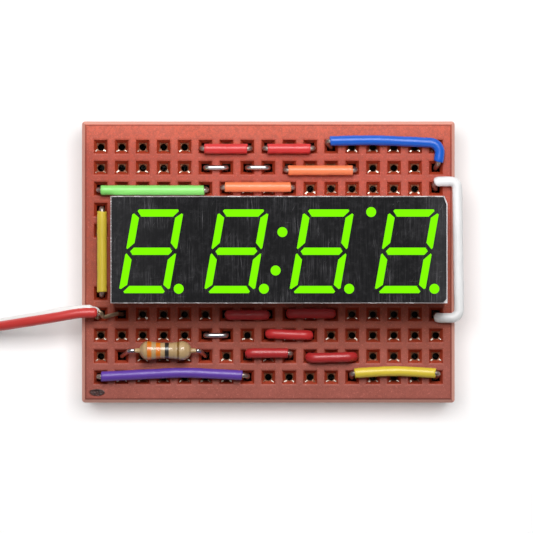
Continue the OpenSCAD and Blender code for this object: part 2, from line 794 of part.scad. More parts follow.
// Resistor: radius along its body, with two bulbs, a waist and ends that close on the leads
function eased(t) = t <= 0 ? 0 : t >= 1 ? 1 : t * t * (3 - 2 * t);
function bulb_r(x) = abs(x) <= bulb_x
    ? resistor_waist / 2 + (resistor_d - resistor_waist) / 2 * eased((abs(x) - waist_x) / (bulb_x - waist_x))
    : resistor_d / 2 * pow(max(0, 1 - pow((abs(x) - bulb_x) / (resistor_l / 2 - bulb_x), 2)), 0.6);
function neck_r(x) = let (t = max(0, (abs(x) - bulb_x) / (resistor_half - bulb_x)))
    resistor_neck / 2 - (resistor_neck - resistor_lead_d) / 2 * t * t;
function resistor_r(x) = max(bulb_r(x), neck_r(x));
resistor_half = resistor_l / 2 + resistor_neck_l;
resistor_steps = 40;
module resistor_placed() {
    translate([resistor_mid[0], resistor_mid[1], resistor_z])
        rotate([0, 90, 0])
            children();
}
module resistor_body() {
    step = 2 * resistor_half / resistor_steps;
    color([0.85, 0.76, 0.6])
        resistor_placed()
            rotate_extrude()
                polygon(concat([[0, -resistor_half]],
                    [for (i = [0 : resistor_steps]) let (x = i * step - resistor_half) [resistor_r(x), x]],
                    [[0, resistor_half]]));
}
// Painted bands: where each starts and ends, measured from the body's middle
band_ends = [[-2.19, -1.66], [-1.12, -0.57], [-0.04, 0.43], [1.42, 1.7]];
module resistor_bands() {
    steps = 4;
    color([0.9, 0.45, 0.1])
        resistor_placed()
            for (ends = band_ends)
                rotate_extrude()
                    polygon(concat(
                        [for (i = [0 : steps]) let (x = ends[0] + (ends[1] - ends[0]) * i / steps)
                            [resistor_r(x) + film_gap, x]],
                        [for (i = [steps : -1 : 0]) let (x = ends[0] + (ends[1] - ends[0]) * i / steps)
                            [resistor_r(x) + band_paint, x]]));
}
function resistor_lead(side, reach, h) =
    let (end = [resistor_mid[0] + side * resistor_half, resistor_mid[1], resistor_z])
    [[end, 0], [end + [side * reach, 0, 0], 0.4],
     [[h[0], h[1], lean_z], lean_r], [[h[0], h[1], leg_end_z], 0]];
module resistor_leads() {
    color(tin_colour) {
        wire(resistor_lead(-1, 0.65, hole(2, 9)), resistor_lead_d);
        wire(resistor_lead(1, 0.4, hole(6, 9)), resistor_lead_d);
    }
}

// Power leads: bare ends in column 2 and column 1 of row 7, and the white lead's turned end
red_start = red_route[0];
white_start = white_route[0];
curl_mid = [lead_socket[0] - 0.4, white_start[1], lead_z];
curl_end = curl_mid - [0, 0.7, 0];
second_socket = hole(2, 7);
red_bare = [[red_start + [fit_gap, 0, 0], 0], [red_start + [0.42, 0, 0], 0.2],
    [red_start + [0.7, -0.6, -0.6], 0.3],
    [[second_socket[0] - 0.52, second_socket[1] + 0.1, strand_z], 0.3],
    [[second_socket[0], second_socket[1], lean_z], lean_r],
    [[second_socket[0], second_socket[1], leg_end_z], 0]];
white_bare = [[curl_end - [0, fit_gap, 0], 0], [curl_end - [0, 0.6, 0], 0.2],
    [[lead_socket[0], lead_socket[1], lean_z], 0.3], [[lead_socket[0], lead_socket[1], leg_end_z], 0]];
module lead_bare_ends() {
    color(tin_colour) {
        wire(red_bare, strand_d);
        wire(white_bare, strand_d);
    }
}
module white_lead_curl() {
    color(white_colour)
        wire([[white_start + [fit_gap, 0, 0], 0], [curl_mid, 0.62], [curl_end, 0]], lead_d);
}

// Where each lead meets its coil, and the straight run up to that place
function entry_point(z) = [coil_mid[0] + coil_out_r * cos(entry_angle),
    coil_mid[1] + coil_out_r * sin(entry_angle), z];
function entry_start(z) = entry_point(z) + entry_run * [sin(entry_angle), -cos(entry_angle), 0];
module red_lead() {
    color(red_colour)
        rod(concat(red_route, [entry_start(high_layer_z)]), lead_d, lead_sides);
}
module white_lead() {
    color(white_colour)
        rod(concat(white_route, [entry_start(low_layer_z)]), lead_d, lead_sides);
}
module coil_layer(z) {
    translate([coil_mid[0], coil_mid[1], z - lead_d / 2])
        rotate_extrude($fn = round_fn)
            translate([coil_in_r - lead_d / 2, 0])
                square([coil_out_r - coil_in_r + lead_d, lead_d]);
    bar(entry_start(z) + 2 * fit_gap * unit(entry_point(z) - entry_start(z)), entry_point(z), lead_d);
}
module red_lead_coil() {
    color(red_colour)
        coil_layer(high_layer_z);
}
module white_lead_coil() {
    color(white_colour)
        coil_layer(low_layer_z);
}
tie_angle = 250;
module lead_tie() {
    inner = sqrt(pow(coil_in_r - lead_d / 2, 2) - pow(tie_w / 2, 2)) - fit_gap;
    outer = coil_out_r + lead_d / 2 + fit_gap;
    top = high_layer_z + lead_d / 2 + slide_gap;
    color([0.95, 0.95, 0.95])
        translate([coil_mid[0], coil_mid[1], 0])
            rotate([0, 0, tie_angle])
                difference() {
                    translate([inner - tie_t, -tie_w / 2, 0])
                        cube([outer - inner + 2 * tie_t, tie_w, top + tie_t]);
                    translate([inner, -tie_w, tie_t])
                        cube([outer - inner, 2 * tie_w, top - tie_t]);
                }
}

breadboard_body();
rear_bank_clips();
front_bank_clips();
adhesive_foam_pad();
release_liner();
display_housing();
display_face_film();
digit_1_light_guides();
digit_2_light_guides();
digit_3_light_guides();
digit_4_light_guides();
colon_light_guides();
apostrophe_light_guide();
display_circuit_board();
led_dies();
display_pins_rear_row();
display_pins_front_row();
red_jumper_a_sleeve();
red_jumper_a_wire();
red_jumper_b_sleeve();
red_jumper_b_wire();
red_jumper_c_sleeve();
red_jumper_c_wire();
red_jumper_d_sleeve();
red_jumper_d_wire();
red_jumper_e_sleeve();
red_jumper_e_wire();
red_jumper_f_sleeve();
red_jumper_f_wire();
red_jumper_g_sleeve();
red_jumper_g_wire();
orange_jumper_a_sleeve();
orange_jumper_a_wire();
orange_jumper_b_sleeve();
orange_jumper_b_wire();
blue_jumper_sleeve();
blue_jumper_wire();
green_jumper_sleeve();
green_jumper_wire();
white_jumper_sleeve();
white_jumper_wire();
yellow_jumper_a_sleeve();
yellow_jumper_a_wire();
yellow_jumper_b_sleeve();
yellow_jumper_b_wire();
purple_jumper_sleeve();
purple_jumper_wire();
bare_link_a();
bare_link_b();
bare_link_c();
resistor_body();
resistor_bands();
resistor_leads();
lead_bare_ends();
white_lead_curl();
red_lead();
white_lead();
red_lead_coil();
white_lead_coil();
lead_tie();
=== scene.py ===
"""Looks of a lit four-digit seven segment display, plugged into a small red wiring board.

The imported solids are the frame. Sleeves, wires, resistor, leads, clip mouths and the film's lips are made
here as surfaces of their own, and every solid that stays visible gets a finish.
Lengths inside the file are millimetres in the row's frame, and metres in the meshes and properties.
"""

from itertools import accumulate

import bmesh
import bpy
import numpy as np
from bpy.props import FloatProperty, FloatVectorProperty, IntProperty, PointerProperty
from bpy.types import Operator, Panel, PropertyGroup
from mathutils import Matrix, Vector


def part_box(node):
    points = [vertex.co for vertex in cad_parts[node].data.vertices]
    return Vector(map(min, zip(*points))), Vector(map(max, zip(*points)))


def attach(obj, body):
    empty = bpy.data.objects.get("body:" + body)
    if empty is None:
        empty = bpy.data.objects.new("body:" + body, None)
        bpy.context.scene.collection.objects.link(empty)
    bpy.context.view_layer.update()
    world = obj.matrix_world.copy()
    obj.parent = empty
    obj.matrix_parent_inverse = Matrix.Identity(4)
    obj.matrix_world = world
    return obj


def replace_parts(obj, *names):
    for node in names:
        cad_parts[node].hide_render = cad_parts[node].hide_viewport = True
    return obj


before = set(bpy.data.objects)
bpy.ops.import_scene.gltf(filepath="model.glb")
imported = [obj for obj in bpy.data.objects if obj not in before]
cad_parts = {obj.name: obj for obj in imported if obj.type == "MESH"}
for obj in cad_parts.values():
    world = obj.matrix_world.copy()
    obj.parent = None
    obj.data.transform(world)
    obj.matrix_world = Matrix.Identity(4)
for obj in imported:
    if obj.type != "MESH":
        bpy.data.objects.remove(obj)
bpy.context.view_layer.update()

bl_info = {
    "name": "Wired seven segment display",
    "version": (1, 0, 0),
    "blender": (4, 5, 0),
    "location": "3D View > Sidebar > Display board",
    "description": "Builds the wires, resistor, leads and finishes of a lit display board",
    "category": "Add Mesh",
}

MM = 0.001

# the board: its grid of sockets, its top, the flat inside its bevel, and its oval pit
PITCH = 2.54
COLUMNS, ROWS, BANK_ROWS = 17, 10, 5
FIRST_ROW_Y = 3.81
SOCKET_HALF = 0.85
BANK_X, BANK_Y = 21.4, (2.5, 15.1)
TOP_Z = 9.4
FLAT_X, FLAT_Y = 22.15, 16.6
PIT, PIT_RADII = (-20.74, -15.82), (0.9, 0.42)
COVERED_COLUMNS, COVERED_ROWS = range(2, 18), range(4, 7)

# a clip's mouth: half of its throat, radii of rim and foot, their shift, the heights, and its tips
THROAT_HALF, MOUTH_R, FOOT_R, MOUTH_SHIFT = 0.505, 0.43, 0.38, 0.03
MOUTH_Z = 8.58, 8.54, 8.0
CLIP_TIP_Z, CLIP_TIP_T = 8.9, 0.1

# heights of the wires, the radii of their bends, and how far a sleeve's cut and lip reach
LEG_END_Z = 3.4
LEAN_Z = 8.6
SLEEVE_Z = 10.05
LINK_Z = 9.75
LEG_BEND = 0.5
BEND = 0.75
SHARP = 0.36
CUT_FADE, LIP = 0.3, 0.05

# the display: heights of its darker rim, its less darkened right end, and the sides that make a round point
RIM_Z = (15.9, 16.3)
RIGHT_END_X = (20.9, 21.2)
ROUND_SIDES = 20

# the resistor: middle, sockets, how far its leads run on before they bend, the lacquer's necks, and
# where its waist ends and its bulbs are widest, as shares of half its body
RESISTOR = np.array([-12.44, -10.71, 10.6])
RESISTOR_SOCKETS = (2, 9), (6, 9)
RESISTOR_RUNS = 0.65, 0.4
NECK_L, NECK_R = 0.5, 0.33
WAIST_TO, WIDEST = 0.2, 0.66

# the power leads: sockets, strands in each and the radius they lie at, the far ends' stripped length,
# and the radius of the white lead's pinched end
LEAD_SOCKETS = (1, 7), (2, 7)
STRAND_COUNT, BUNDLE_R = 6, 0.15
STRIPPED = 3.0
PINCHED_R = 0.36

# the photograph's width and the camera's focal length in pixels, its sensor, and its place
PHOTO_WIDTH = 533
FOCAL_LENGTH = 3540.1
SENSOR = 36.0
CAMERA_X, CAMERA_Y = -0.22, -0.545

# the table
TABLE_HALF, TABLE_POINTS = 600, 9


def linear(r, g, b):
    """A screen colour, 0 to 255, as the linear values that shaders use."""
    c = np.array([r, g, b]) / 255
    return tuple(np.where(c <= 0.04045, c / 12.92, ((c + 0.055) / 1.055) ** 2.4).tolist())


def length(name, text, value):
    return FloatProperty(name=name, description=text, default=value, unit="LENGTH", precision=5)


def colour(name, thing, *rgb):
    text, rgb = f"Colour of the {thing}", linear(*rgb)
    return FloatVectorProperty(name=name, description=text, default=rgb, subtype="COLOR", min=0, max=1)


def amount(name, text, value, **more):
    return FloatProperty(name=name, description=text, default=value, min=0, **more)


class BoardLooks(PropertyGroup):
    # front, middle, rear and rear edge: one plastic painted lighter towards the rear, standing in for the
    # rear lamp's falloff; the rear edge's colour is a painted sheen
    plastic: colour("Front", "moulded board near its front edge", 166, 86, 72)
    middle: colour("Middle", "moulded board at its middle", 172, 78, 52)
    lit_rear: colour("Rear", "moulded board in its rear bank", 190, 74, 52)
    pale: colour("Rear edge", "moulded board at its rear edge", 230, 106, 78)
    # painted shade: the darker, more saturated plastic inside the sockets
    funnel: colour("Funnels", "plastic inside the sockets", 176, 62, 30)
    # painted highlight on the socket rims; the same colour also paints the board's dust, specks and clouds
    rim: colour("Rims", "rubbed edges and socket rims", 224, 128, 116)
    # painted reflection: the bevel is pale where it mirrors the white surroundings
    bevel: colour("Bevel", "pale outer bevel", 228, 168, 152)
    # the clips' colour, shown only where a painted glint falls; elsewhere a tenth of it is painted shade
    clip: colour("Clips", "plated spring clips", 214, 208, 196)
    mouth: colour("Clip mouths", "clips' dull mouths in the sockets", 118, 66, 38)
    # the tips' bright colour is a painted glint
    tip: colour("Clip tips", "clips' bright rubbed tips", 250, 238, 222)
    foam: colour("Foam", "foam pad", 238, 236, 228)
    liner: colour("Liner", "paper under the pad", 222, 212, 182)


class DisplayLooks(PropertyGroup):
    lit: colour("Light", "lit segments", 132, 255, 0)
    glow: amount("Glow", "Strength of the light that the segments give", 1.0)
    film: colour("Film", "black face film", 17, 17, 19)
    scratch: colour("Streaks", "brushed streaks in the film", 140, 138, 142)
    housing: colour("Housing", "white housing", 236, 232, 234)
    # a darker colour for the housing's upper rim
    darker_rim: colour("Grime", "grime on the housing's rim", 96, 78, 76)
    laminate: colour("Laminate", "display's own board", 206, 196, 150)


class WiringLooks(PropertyGroup):
    sleeve_d: length("Sleeve", "Outer diameter of a jumper's sleeve", 0.0012)
    wire_d: length("Wire", "Diameter of a jumper's conductor", 0.0006)
    sides: IntProperty(name="Sides", description="Sides round a wire", default=24, min=8, max=48)
    red: colour("Red", "red sleeves", 216, 50, 52)
    # painted shade: a darker copy of the red, for the sleeves in the display's shadow and towards the
    # board's front
    deep_red: colour("Deep red", "red sleeves in front of the display", 178, 38, 40)
    orange: colour("Orange", "orange sleeves", 250, 132, 82)
    blue: colour("Blue", "blue sleeve", 2, 92, 204)
    green: colour("Green", "green sleeve", 138, 222, 112)
    yellow: colour("Yellow", "yellow sleeves", 226, 200, 58)
    purple: colour("Purple", "purple sleeve", 100, 62, 168)
    white: colour("White", "white sleeve", 240, 240, 240)
    tin: colour("Tin", "tinned copper", 206, 207, 208)
    dull_tin: colour("Dull tin", "jumpers' bare ends", 176, 162, 154)


class ResistorLooks(PropertyGroup):
    body_l: length("Length", "Length of the resistor's body", 0.0064)
    bulb_d: length("Ends", "Diameter of the body's end bulbs", 0.0023)
    waist_d: length("Waist", "Diameter of the body's waist", 0.00195)
    lead_d: length("Leads", "Diameter of the resistor's leads", 0.0005)
    coat: colour("Coat", "lacquer", 190, 158, 112)
    orange_band: colour("Orange band", "two orange bands", 220, 118, 12)
    black_band: colour("Black band", "black band", 34, 30, 28)
    gold_band: colour("Gold band", "thin gold band", 128, 92, 34)


class LeadLooks(PropertyGroup):
    lead_d: length("Lead", "Outer diameter of a power lead", 0.0012)
    coil_outer_r: length("Coil", "Radius of the outermost turn", 0.008369)
    coil_inner_r: length("Coil core", "Radius of the innermost turn", 0.004831)
    turns: FloatProperty(name="Turns", description="Turns of each lead in its coil", default=2.9, min=1)
    red: colour("Red lead", "red lead", 206, 58, 54)
    white: colour("White lead", "white lead", 238, 238, 236)
    strand: colour("Strands", "leads' bare strands", 190, 170, 142)
    tie: colour("Tie", "strip round the coil", 240, 240, 238)


class StageLooks(PropertyGroup):
    floor: colour("Floor", "table", 242, 242, 242)
    lamp: amount("Lamp", "Power of the soft lamp over the object", 0.505, unit="POWER")
    table_lamp: amount("Table lamp", "Power of the lamp for the table", 42.0, unit="POWER")
    floor_glow: amount("Lit floor", "Light that shines through the table", 0.04)
    sky: amount("Sky", "Strength of the even light all round", 0.14)
    camera_height: length("Camera", "Height of the camera over the table", 0.4384)


LOOKS = {
    "board_looks": BoardLooks,
    "display_looks": DisplayLooks,
    "wiring_looks": WiringLooks,
    "resistor_looks": ResistorLooks,
    "lead_looks": LeadLooks,
    "stage_looks": StageLooks,
}


def maths(operation, reverse=False):
    """A method that adds a Math node on its own value and the others, in this order or the reverse."""

    def method(self, *others):
        values = (self, *others)
        return self.finish.node("Math", {"operation": operation}, *(values[::-1] if reverse else values))

    return method


class Value:
    """One output socket. Python's operators on it add Math nodes."""

    def __init__(self, finish, socket):
        self.finish, self.socket = finish, socket

    __add__ = maths("ADD")
    __radd__ = maths("ADD", reverse=True)
    __sub__ = maths("SUBTRACT")
    __rsub__ = maths("SUBTRACT", reverse=True)
    __mul__ = maths("MULTIPLY")
    __truediv__ = maths("DIVIDE")
    __pow__ = maths("POWER")
    __abs__ = maths("ABSOLUTE")
    fraction = maths("FRACT")
    sine = maths("SINE")
    highest = maths("MAXIMUM")
    lowest = maths("MINIMUM")

    def step(self, low, high):
        """0 below low, 1 above high, and a smooth rise between them."""
        smooth = {"interpolation_type": "SMOOTHSTEP"}
        return self.finish.node("MapRange", smooth, self, low, high, 0.0, 1.0)


class Finish:
    """A material under construction, with object coordinates in millimetres as its here."""

    def __init__(self, name):
        self.material = bpy.data.materials.new(name)
        self.material.use_nodes = True
        self.tree = self.material.node_tree
        self.shader = self.tree.nodes["Principled BSDF"]
        self.here = self.scaled(self.node("TexCoord", {}, output=3), (1 / MM,) * 3)

    def node(self, kind, settings, *values, output=0, **named):
        """Adds a node of this kind, sets its settings, and then its inputs in order or by name."""
        node = self.tree.nodes.new("ShaderNode" + kind)
        for key, value in settings.items():
            setattr(node, key, value)
        for i, value in enumerate(values):
            self.put(node.inputs[i], value)
        for key, value in named.items():
            self.put(node.inputs[key.replace("_", " ")], value)
        return Value(self, node.outputs[output])

    def put(self, socket, value):
        if isinstance(value, Value):
            self.tree.links.new(value.socket, socket)
        elif value is not None:
            if socket.type == "RGBA" and len(value) == 3:
                value = (*value, 1)
            socket.default_value = value

    def scaled(self, vector, scales):
        return self.node("VectorMath", {"operation": "MULTIPLY"}, vector, scales)

    def parts(self, vector=None):
        return [self.node("SeparateXYZ", {}, vector or self.here, output=i) for i in range(3)]

    def noise(self, scale, stretch=(1, 1, 1), detail=3.0, roughness=0.5, on=None):
        grid = self.scaled(on or self.here, tuple(scale * s for s in stretch))
        return self.node("TexNoise", {}, grid, Scale=1.0, Detail=detail, Roughness=roughness)

    def blend(self, share, a, b):
        """Colour a where share is 0 and b where it is 1: inputs 6 and 7 of a Mix node, and output 2."""
        return self.node("Mix", {"data_type": "RGBA"}, share, *[None] * 5, a, b, output=2)

    def tone(self, rgb, share, amount):
        """A colour that gets darker and lighter by the given amount as share goes from 0 to 1."""
        dark = tuple(c * (1 - amount) for c in rgb)
        light = tuple(min(1, c * (1 + amount)) for c in rgb)
        return self.blend(share, dark, light)

    def bump(self, height):
        """A normal from a height in millimetres."""
        return self.node("Bump", {}, Strength=1.0, Distance=MM, Height=height)

    def done(self, **sockets):
        for key, value in sockets.items():
            self.put(self.shader.inputs[key.replace("_", " ")], value)
        return self.material


def board_plastic(looks):
    """Moulded plastic: speckled, dusty, a stain; painted lighter at the rear, painted sheen on rims and
    bevel, painted shade in sockets and groove.
    """
    f = Finish("speckled_red_plastic")
    x, y, z = f.parts()
    grain = f.noise(9.0, detail=4.0, roughness=0.7)
    cloud = f.noise(0.22, detail=2.0)
    across = abs((x / PITCH + 0.5).fraction() - 0.5) * PITCH
    along = abs((y / PITCH).fraction() - 0.5) * PITCH
    near, far = BANK_Y
    bank = abs(y).step(near, near + 0.1) * (1 - abs(y).step(far, far + 0.1))
    bank = bank * (1 - abs(x).step(BANK_X, BANK_X + 0.1))
    top = z.step(TOP_Z - 0.1, TOP_Z - 0.04)
    off_socket = across.highest(along) - SOCKET_HALF
    # painted highlight: a pale line round each socket's rim
    rim = (1 - abs(off_socket - 0.05).step(0.0, 0.09)) * bank * top
    edge = (abs(x) - FLAT_X).highest(abs(y) - FLAT_Y)
    # painted shade: a dark line in the groove round the top's edge
    groove = (1 - abs(edge + 0.04).step(0.02, 0.09)) * z.step(TOP_Z - 0.2, TOP_Z - 0.1)
    # painted light: darker at the front and lighter towards the rear, as the rear lamp's light falls, with
    # a painted sheen at the rear edge
    base = f.blend(y.step(-15.0, -5.0), looks.plastic, looks.middle)
    base = f.blend(y.step(-2.0, 13.0), base, looks.lit_rear)
    base = f.blend(y.step(12.0, 17.0), base, looks.pale)
    base = f.blend(grain.step(0.3, 0.7) * 0.30, base, tuple(c * 0.42 for c in looks.plastic))
    mottle = f.noise(2.6, roughness=0.75)
    base = f.blend(mottle.step(0.40, 0.62) * 0.34, base, tuple(c * 0.55 for c in looks.plastic))
    base = f.blend(cloud.step(0.35, 0.75) * 0.10, base, looks.rim)
    dust = f.noise(4.0, detail=2.0, roughness=0.8).step(0.60, 0.70)
    specks = f.noise(7.0, detail=2.0, roughness=0.8).step(0.66, 0.72)
    # dust and specks, and the painted highlight round the sockets
    base = f.blend((rim * 0.16 + dust * 0.36 + specks * 0.75 * top).lowest(1.0), base, looks.rim)
    # painted shade: the plastic below the top, inside the sockets, is darker and more saturated
    base = f.blend((1 - z.step(TOP_Z - 0.06, TOP_Z - 0.02)) * bank * 0.75, base, looks.funnel)
    # painted reflection: the bevel paler, mirroring the white surroundings
    base = f.blend(edge.step(0.05, 0.12) * 0.8, base, looks.bevel)
    base = f.blend(groove * 0.6, base, tuple(c * 0.35 for c in looks.plastic))
    pit = 1 - (((x - PIT[0]) / PIT_RADII[0]) ** 2 + ((y - PIT[1]) / PIT_RADII[1]) ** 2).step(0.8, 1.3)
    soot = f.noise(3.5)
    base = f.blend(pit * (0.65 + soot * 0.5).lowest(1.0), base, linear(52, 42, 42))
    height = (off_socket.step(0.0, 0.16) - 1) * bank * top * 0.05
    height = height + grain * 0.02 - groove * 0.03 + soot * pit * 0.08
    return f.done(
        Base_Color=base,
        Roughness=0.42 + grain * 0.2 - pit * 0.26,
        Specular_IOR_Level=0.3,
        Normal=f.bump(height),
    )


def brushed_film(looks):
    """Black film with fine streaks across the row of digits, haze, and scratches in four directions."""
    f = Finish("brushed_black_film")
    x, y, z = f.parts()
    lean = f.node("CombineXYZ", {}, x + y * 0.14, y - x * 0.10, z)
    fine = f.noise(1.0, (9.0, 0.25, 1.0), detail=5.0, roughness=0.75)
    dust = f.noise(5.0, detail=2.0)
    patches = f.noise(0.4, detail=2.0).step(0.45, 0.66)
    upright = f.noise(1.0, (13.0, 0.16, 1.0), detail=1.0).step(0.66, 0.80)
    slanted = f.noise(1.0, (10.0, 0.20, 1.0), detail=1.0, on=lean).step(0.70, 0.82)
    back = f.node("CombineXYZ", {}, x - y * 0.55, y + x * 0.4, z)
    hairs = f.noise(1.0, (16.0, 0.5, 1.0), detail=1.0, on=back).step(0.70, 0.80)
    flat = f.noise(1.0, (0.5, 17.0, 1.0), detail=1.0, on=lean).step(0.72, 0.82)
    scratches = upright.highest(slanted).highest(hairs.highest(flat) * 0.6)
    haze = f.noise(1.3, detail=5.0, roughness=0.75)
    ends = 1 - x.step(-22.0, -9.0) + x.step(17.5, 20.5) * 1.4
    share = fine.step(0.44, 0.72) * (0.05 + patches * 0.16) + scratches * (0.08 + patches * 0.5)
    share = (share + ends * 0.05 + haze.step(0.45, 0.75) * 0.06).lowest(1.0)
    base = f.blend(share, looks.film, looks.scratch)
    base = f.blend(dust.step(0.72, 0.8) * 0.3, base, linear(150, 150, 155))
    return f.done(
        Base_Color=base,
        Roughness=0.5 + fine * 0.25,
        Specular_IOR_Level=0.1,
        Normal=f.bump(fine * 0.01 + scratches * 0.012),
    )


def lit_resin(looks):
    """Diffused resin that glows almost evenly, with soft clouds in its tone."""
    f = Finish("lit_green_resin")
    cloud = f.noise(0.9, detail=1.0)
    grain = f.noise(12.0, detail=2.0)
    glow = f.tone(looks.lit, cloud, 0.04)
    return f.done(
        Base_Color=tuple(c * 0.02 for c in looks.lit),
        Roughness=0.5 + grain * 0.1,
        Specular_IOR_Level=0.02,
        Emission_Color=glow,
        Emission_Strength=looks.glow,
        Normal=f.bump(grain * 0.004),
    )


def moulded(name, rgb, grain_size=6.0, tone=0.06, rough=0.42, depth=0.006, spread=0.18):
    """Plain moulded or painted plastic with a fine grain and slow changes of tone."""
    f = Finish(name)
    grain = f.noise(grain_size, detail=4.0, roughness=0.65)
    cloud = f.noise(0.35, detail=2.0)
    base = f.tone(rgb, grain * 0.6 + cloud * 0.4, tone)
    return f.done(Base_Color=base, Roughness=rough + cloud * spread, Normal=f.bump(grain * depth))


def rubbed_housing(looks):
    """White housing, darker on its upper rim, broken in patches and less dark at the right end."""
    f = Finish("white_housing")
    x, _, z = f.parts()
    grain = f.noise(5.0, detail=4.0, roughness=0.65)
    base = f.tone(looks.housing, grain, 0.05)
    chips = f.noise(1.0, (0.9, 3.0, 3.0), detail=4.0, roughness=0.7).step(0.52, 0.58)
    darker_rim = z.step(*RIM_Z) * (1 - x.step(*RIGHT_END_X) * 0.65) * (1 - chips * 0.8)
    base = f.blend(darker_rim * (0.55 + grain * 0.3).lowest(1.0), base, looks.darker_rim)
    return f.done(Base_Color=base, Roughness=0.4 + grain * 0.15, Normal=f.bump(grain * 0.006))


def sleeve_plastic(name, rgb):
    """Soft extruded sleeve: long draw marks, small nicks and handling dirt, glossy skin."""
    f = Finish(name)
    along, around, _ = f.parts(f.node("UVMap", {"uv_map": "wrap"}))
    turn = around * 6.2832
    skin = f.node("CombineXYZ", {}, along * 0.35, turn.sine() * 3.0, (turn + 1.5708).sine() * 3.0)
    marks = f.noise(1.0, on=skin)
    nicks = f.noise(3.2, roughness=0.7)
    base = f.tone(rgb, marks, 0.10)
    base = f.blend(nicks.step(0.60, 0.74) * 0.22, base, tuple(c * 0.62 for c in rgb))
    return f.done(
        Base_Color=base,
        Roughness=0.30 + nicks * 0.22,
        Coat_Weight=0.08 + marks * 0.18,
        Coat_Roughness=0.18,
        Normal=f.bump(marks * 0.02 + nicks * 0.022),
    )


def tinned_metal(name, rgb, rough=0.24, wear=0.25):
    """Tinned or plated metal: cloudy tin, fine scratches."""
    f = Finish(name)
    cloud = f.noise(1.7)
    lines = f.noise(1.0, (7.0, 7.0, 1.3))
    base = f.tone(rgb, cloud, wear)
    rough = rough + cloud * 0.2
    return f.done(Base_Color=base, Metallic=1.0, Roughness=rough, Normal=f.bump(lines * 0.01))


def clip_metal(looks):
    """Spring clips: painted glints on the leaves' upper front corners, and painted shade, a dark dull
    colour, everywhere else.
    """
    f = Finish("plated_clips")
    _, y, z = f.parts()
    patch = f.noise(1.6, roughness=0.7)
    forward = (y / PITCH).fraction() - 0.5
    # painted glint at the front, high up, in patches; the rest is painted shade
    painted_glint = (1 - forward.step(-0.16, -0.04)) * z.step(5.6, 6.4) * patch.step(0.38, 0.52)
    base = f.blend(painted_glint, tuple(c * 0.10 for c in looks.clip), looks.clip)
    rough = 0.34 - painted_glint * 0.2
    return f.done(Base_Color=base, Metallic=1.0, Roughness=rough, Normal=f.bump(patch * 0.05))


def spring_mouth_metal(looks):
    """Plated mouths of the clips: dull and brown, with painted glints where the wrap's first number is
    high.
    """
    f = Finish("spring_mouths")
    bright, _, _ = f.parts(f.node("UVMap", {"uv_map": "wrap"}))
    wear = f.noise(3.5, detail=2.0)
    # painted glints on the clips' tips
    painted_glint = (bright + (wear - 0.5) * 0.8).step(0.12, 0.58)
    base = f.blend(painted_glint, looks.mouth, looks.tip)
    rough = 0.42 - painted_glint * 0.12
    return f.done(Base_Color=base, Metallic=0.35, Roughness=rough, Normal=f.bump(wear * 0.03))


def lacquer(looks, middle_x):
    """Resistor lacquer with painted rings, at places in millimetres from its middle."""
    f = Finish("banded_lacquer")
    x, _, _ = f.parts()
    wobble = f.noise(2.6, detail=2.0)
    x = x - middle_x + (wobble - 0.5) * 0.09
    grain = f.noise(5.0)
    base = f.tone(looks.coat, grain, 0.12)

    def ring(start, end):
        return x.step(start - 0.03, start + 0.03) * (1 - x.step(end - 0.03, end + 0.03))

    orange = ring(-2.19, -1.66) + ring(-1.12, -0.57)
    black, gold = ring(-0.04, 0.43), ring(1.42, 1.70)
    paint = orange + black + gold
    base = f.blend(orange, base, looks.orange_band)
    base = f.blend(black, base, looks.black_band)
    base = f.blend(gold, base, looks.gold_band)
    return f.done(
        Base_Color=base,
        Roughness=0.3 + grain * 0.2,
        Coat_Weight=0.8,
        Coat_Roughness=0.05,
        Normal=f.bump(wobble * 0.05 + grain * 0.02 + (x * 11.4).sine() * 0.02 + paint * 0.012),
    )


def table_top(looks):
    """Pale paper, lit a little from below."""
    f = Finish("pale_table")
    cloud = f.noise(0.02, detail=2.0)
    grain = f.noise(2.0, detail=2.0)
    paper = f.tone(looks.floor, cloud * 0.7 + grain * 0.3, 0.02)
    glow = looks.floor_glow
    return f.done(Base_Color=paper, Roughness=0.7, Emission_Color=paper, Emission_Strength=glow)


def cells(rows, columns, close_rows=False, close_columns=True):
    """Quads of a grid of points, whose last row or column may join the first."""
    i, j = np.meshgrid(
        np.arange(rows if close_rows else rows - 1),
        np.arange(columns if close_columns else columns - 1),
        indexing="ij",
    )
    up, on = (i + 1) % rows, (j + 1) % columns
    quads = np.stack([i * columns + j, i * columns + on, up * columns + on, up * columns + j], -1)
    return quads.reshape(-1, 4)


def mesh_piece(name, grids, material, body="root", smooth=True):
    """One object from grids of points in millimetres: (points, wrap coordinates, faces) each."""
    points, wraps, faces, start = [], [], [], 0
    for grid, wrap, quads in grids:
        points.append(grid.reshape(-1, 3) * MM)
        wraps.append(wrap.reshape(-1, 2))
        faces.append(quads + start)
        start += len(points[-1])
    points, wraps, faces = np.concatenate(points), np.concatenate(wraps), np.concatenate(faces)
    mesh = bpy.data.meshes.new(name)
    mesh.from_pydata(points, [], faces.tolist())
    layer = mesh.uv_layers.new(name="wrap")
    layer.data.foreach_set("uv", wraps[faces.reshape(-1)].reshape(-1).astype(np.float32))
    work = merged(mesh)
    bmesh.ops.recalc_face_normals(work, faces=work.faces)
    work.to_mesh(mesh)
    work.free()
    mesh.polygons.foreach_set("use_smooth", [smooth] * len(mesh.polygons))
    mesh.materials.append(material)
    piece = bpy.data.objects.new(name, mesh)
    bpy.context.scene.collection.objects.link(piece)
    if body:
        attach(piece, body)
    return piece


def merged(mesh):
    """A mesh as a bmesh, with vertices at one place made one."""
    work = bmesh.new()
    work.from_mesh(mesh)
    bmesh.ops.remove_doubles(work, verts=work.verts, dist=2e-7)
    return work


def unit(v):
    return v / np.linalg.norm(v, axis=-1, keepdims=True)


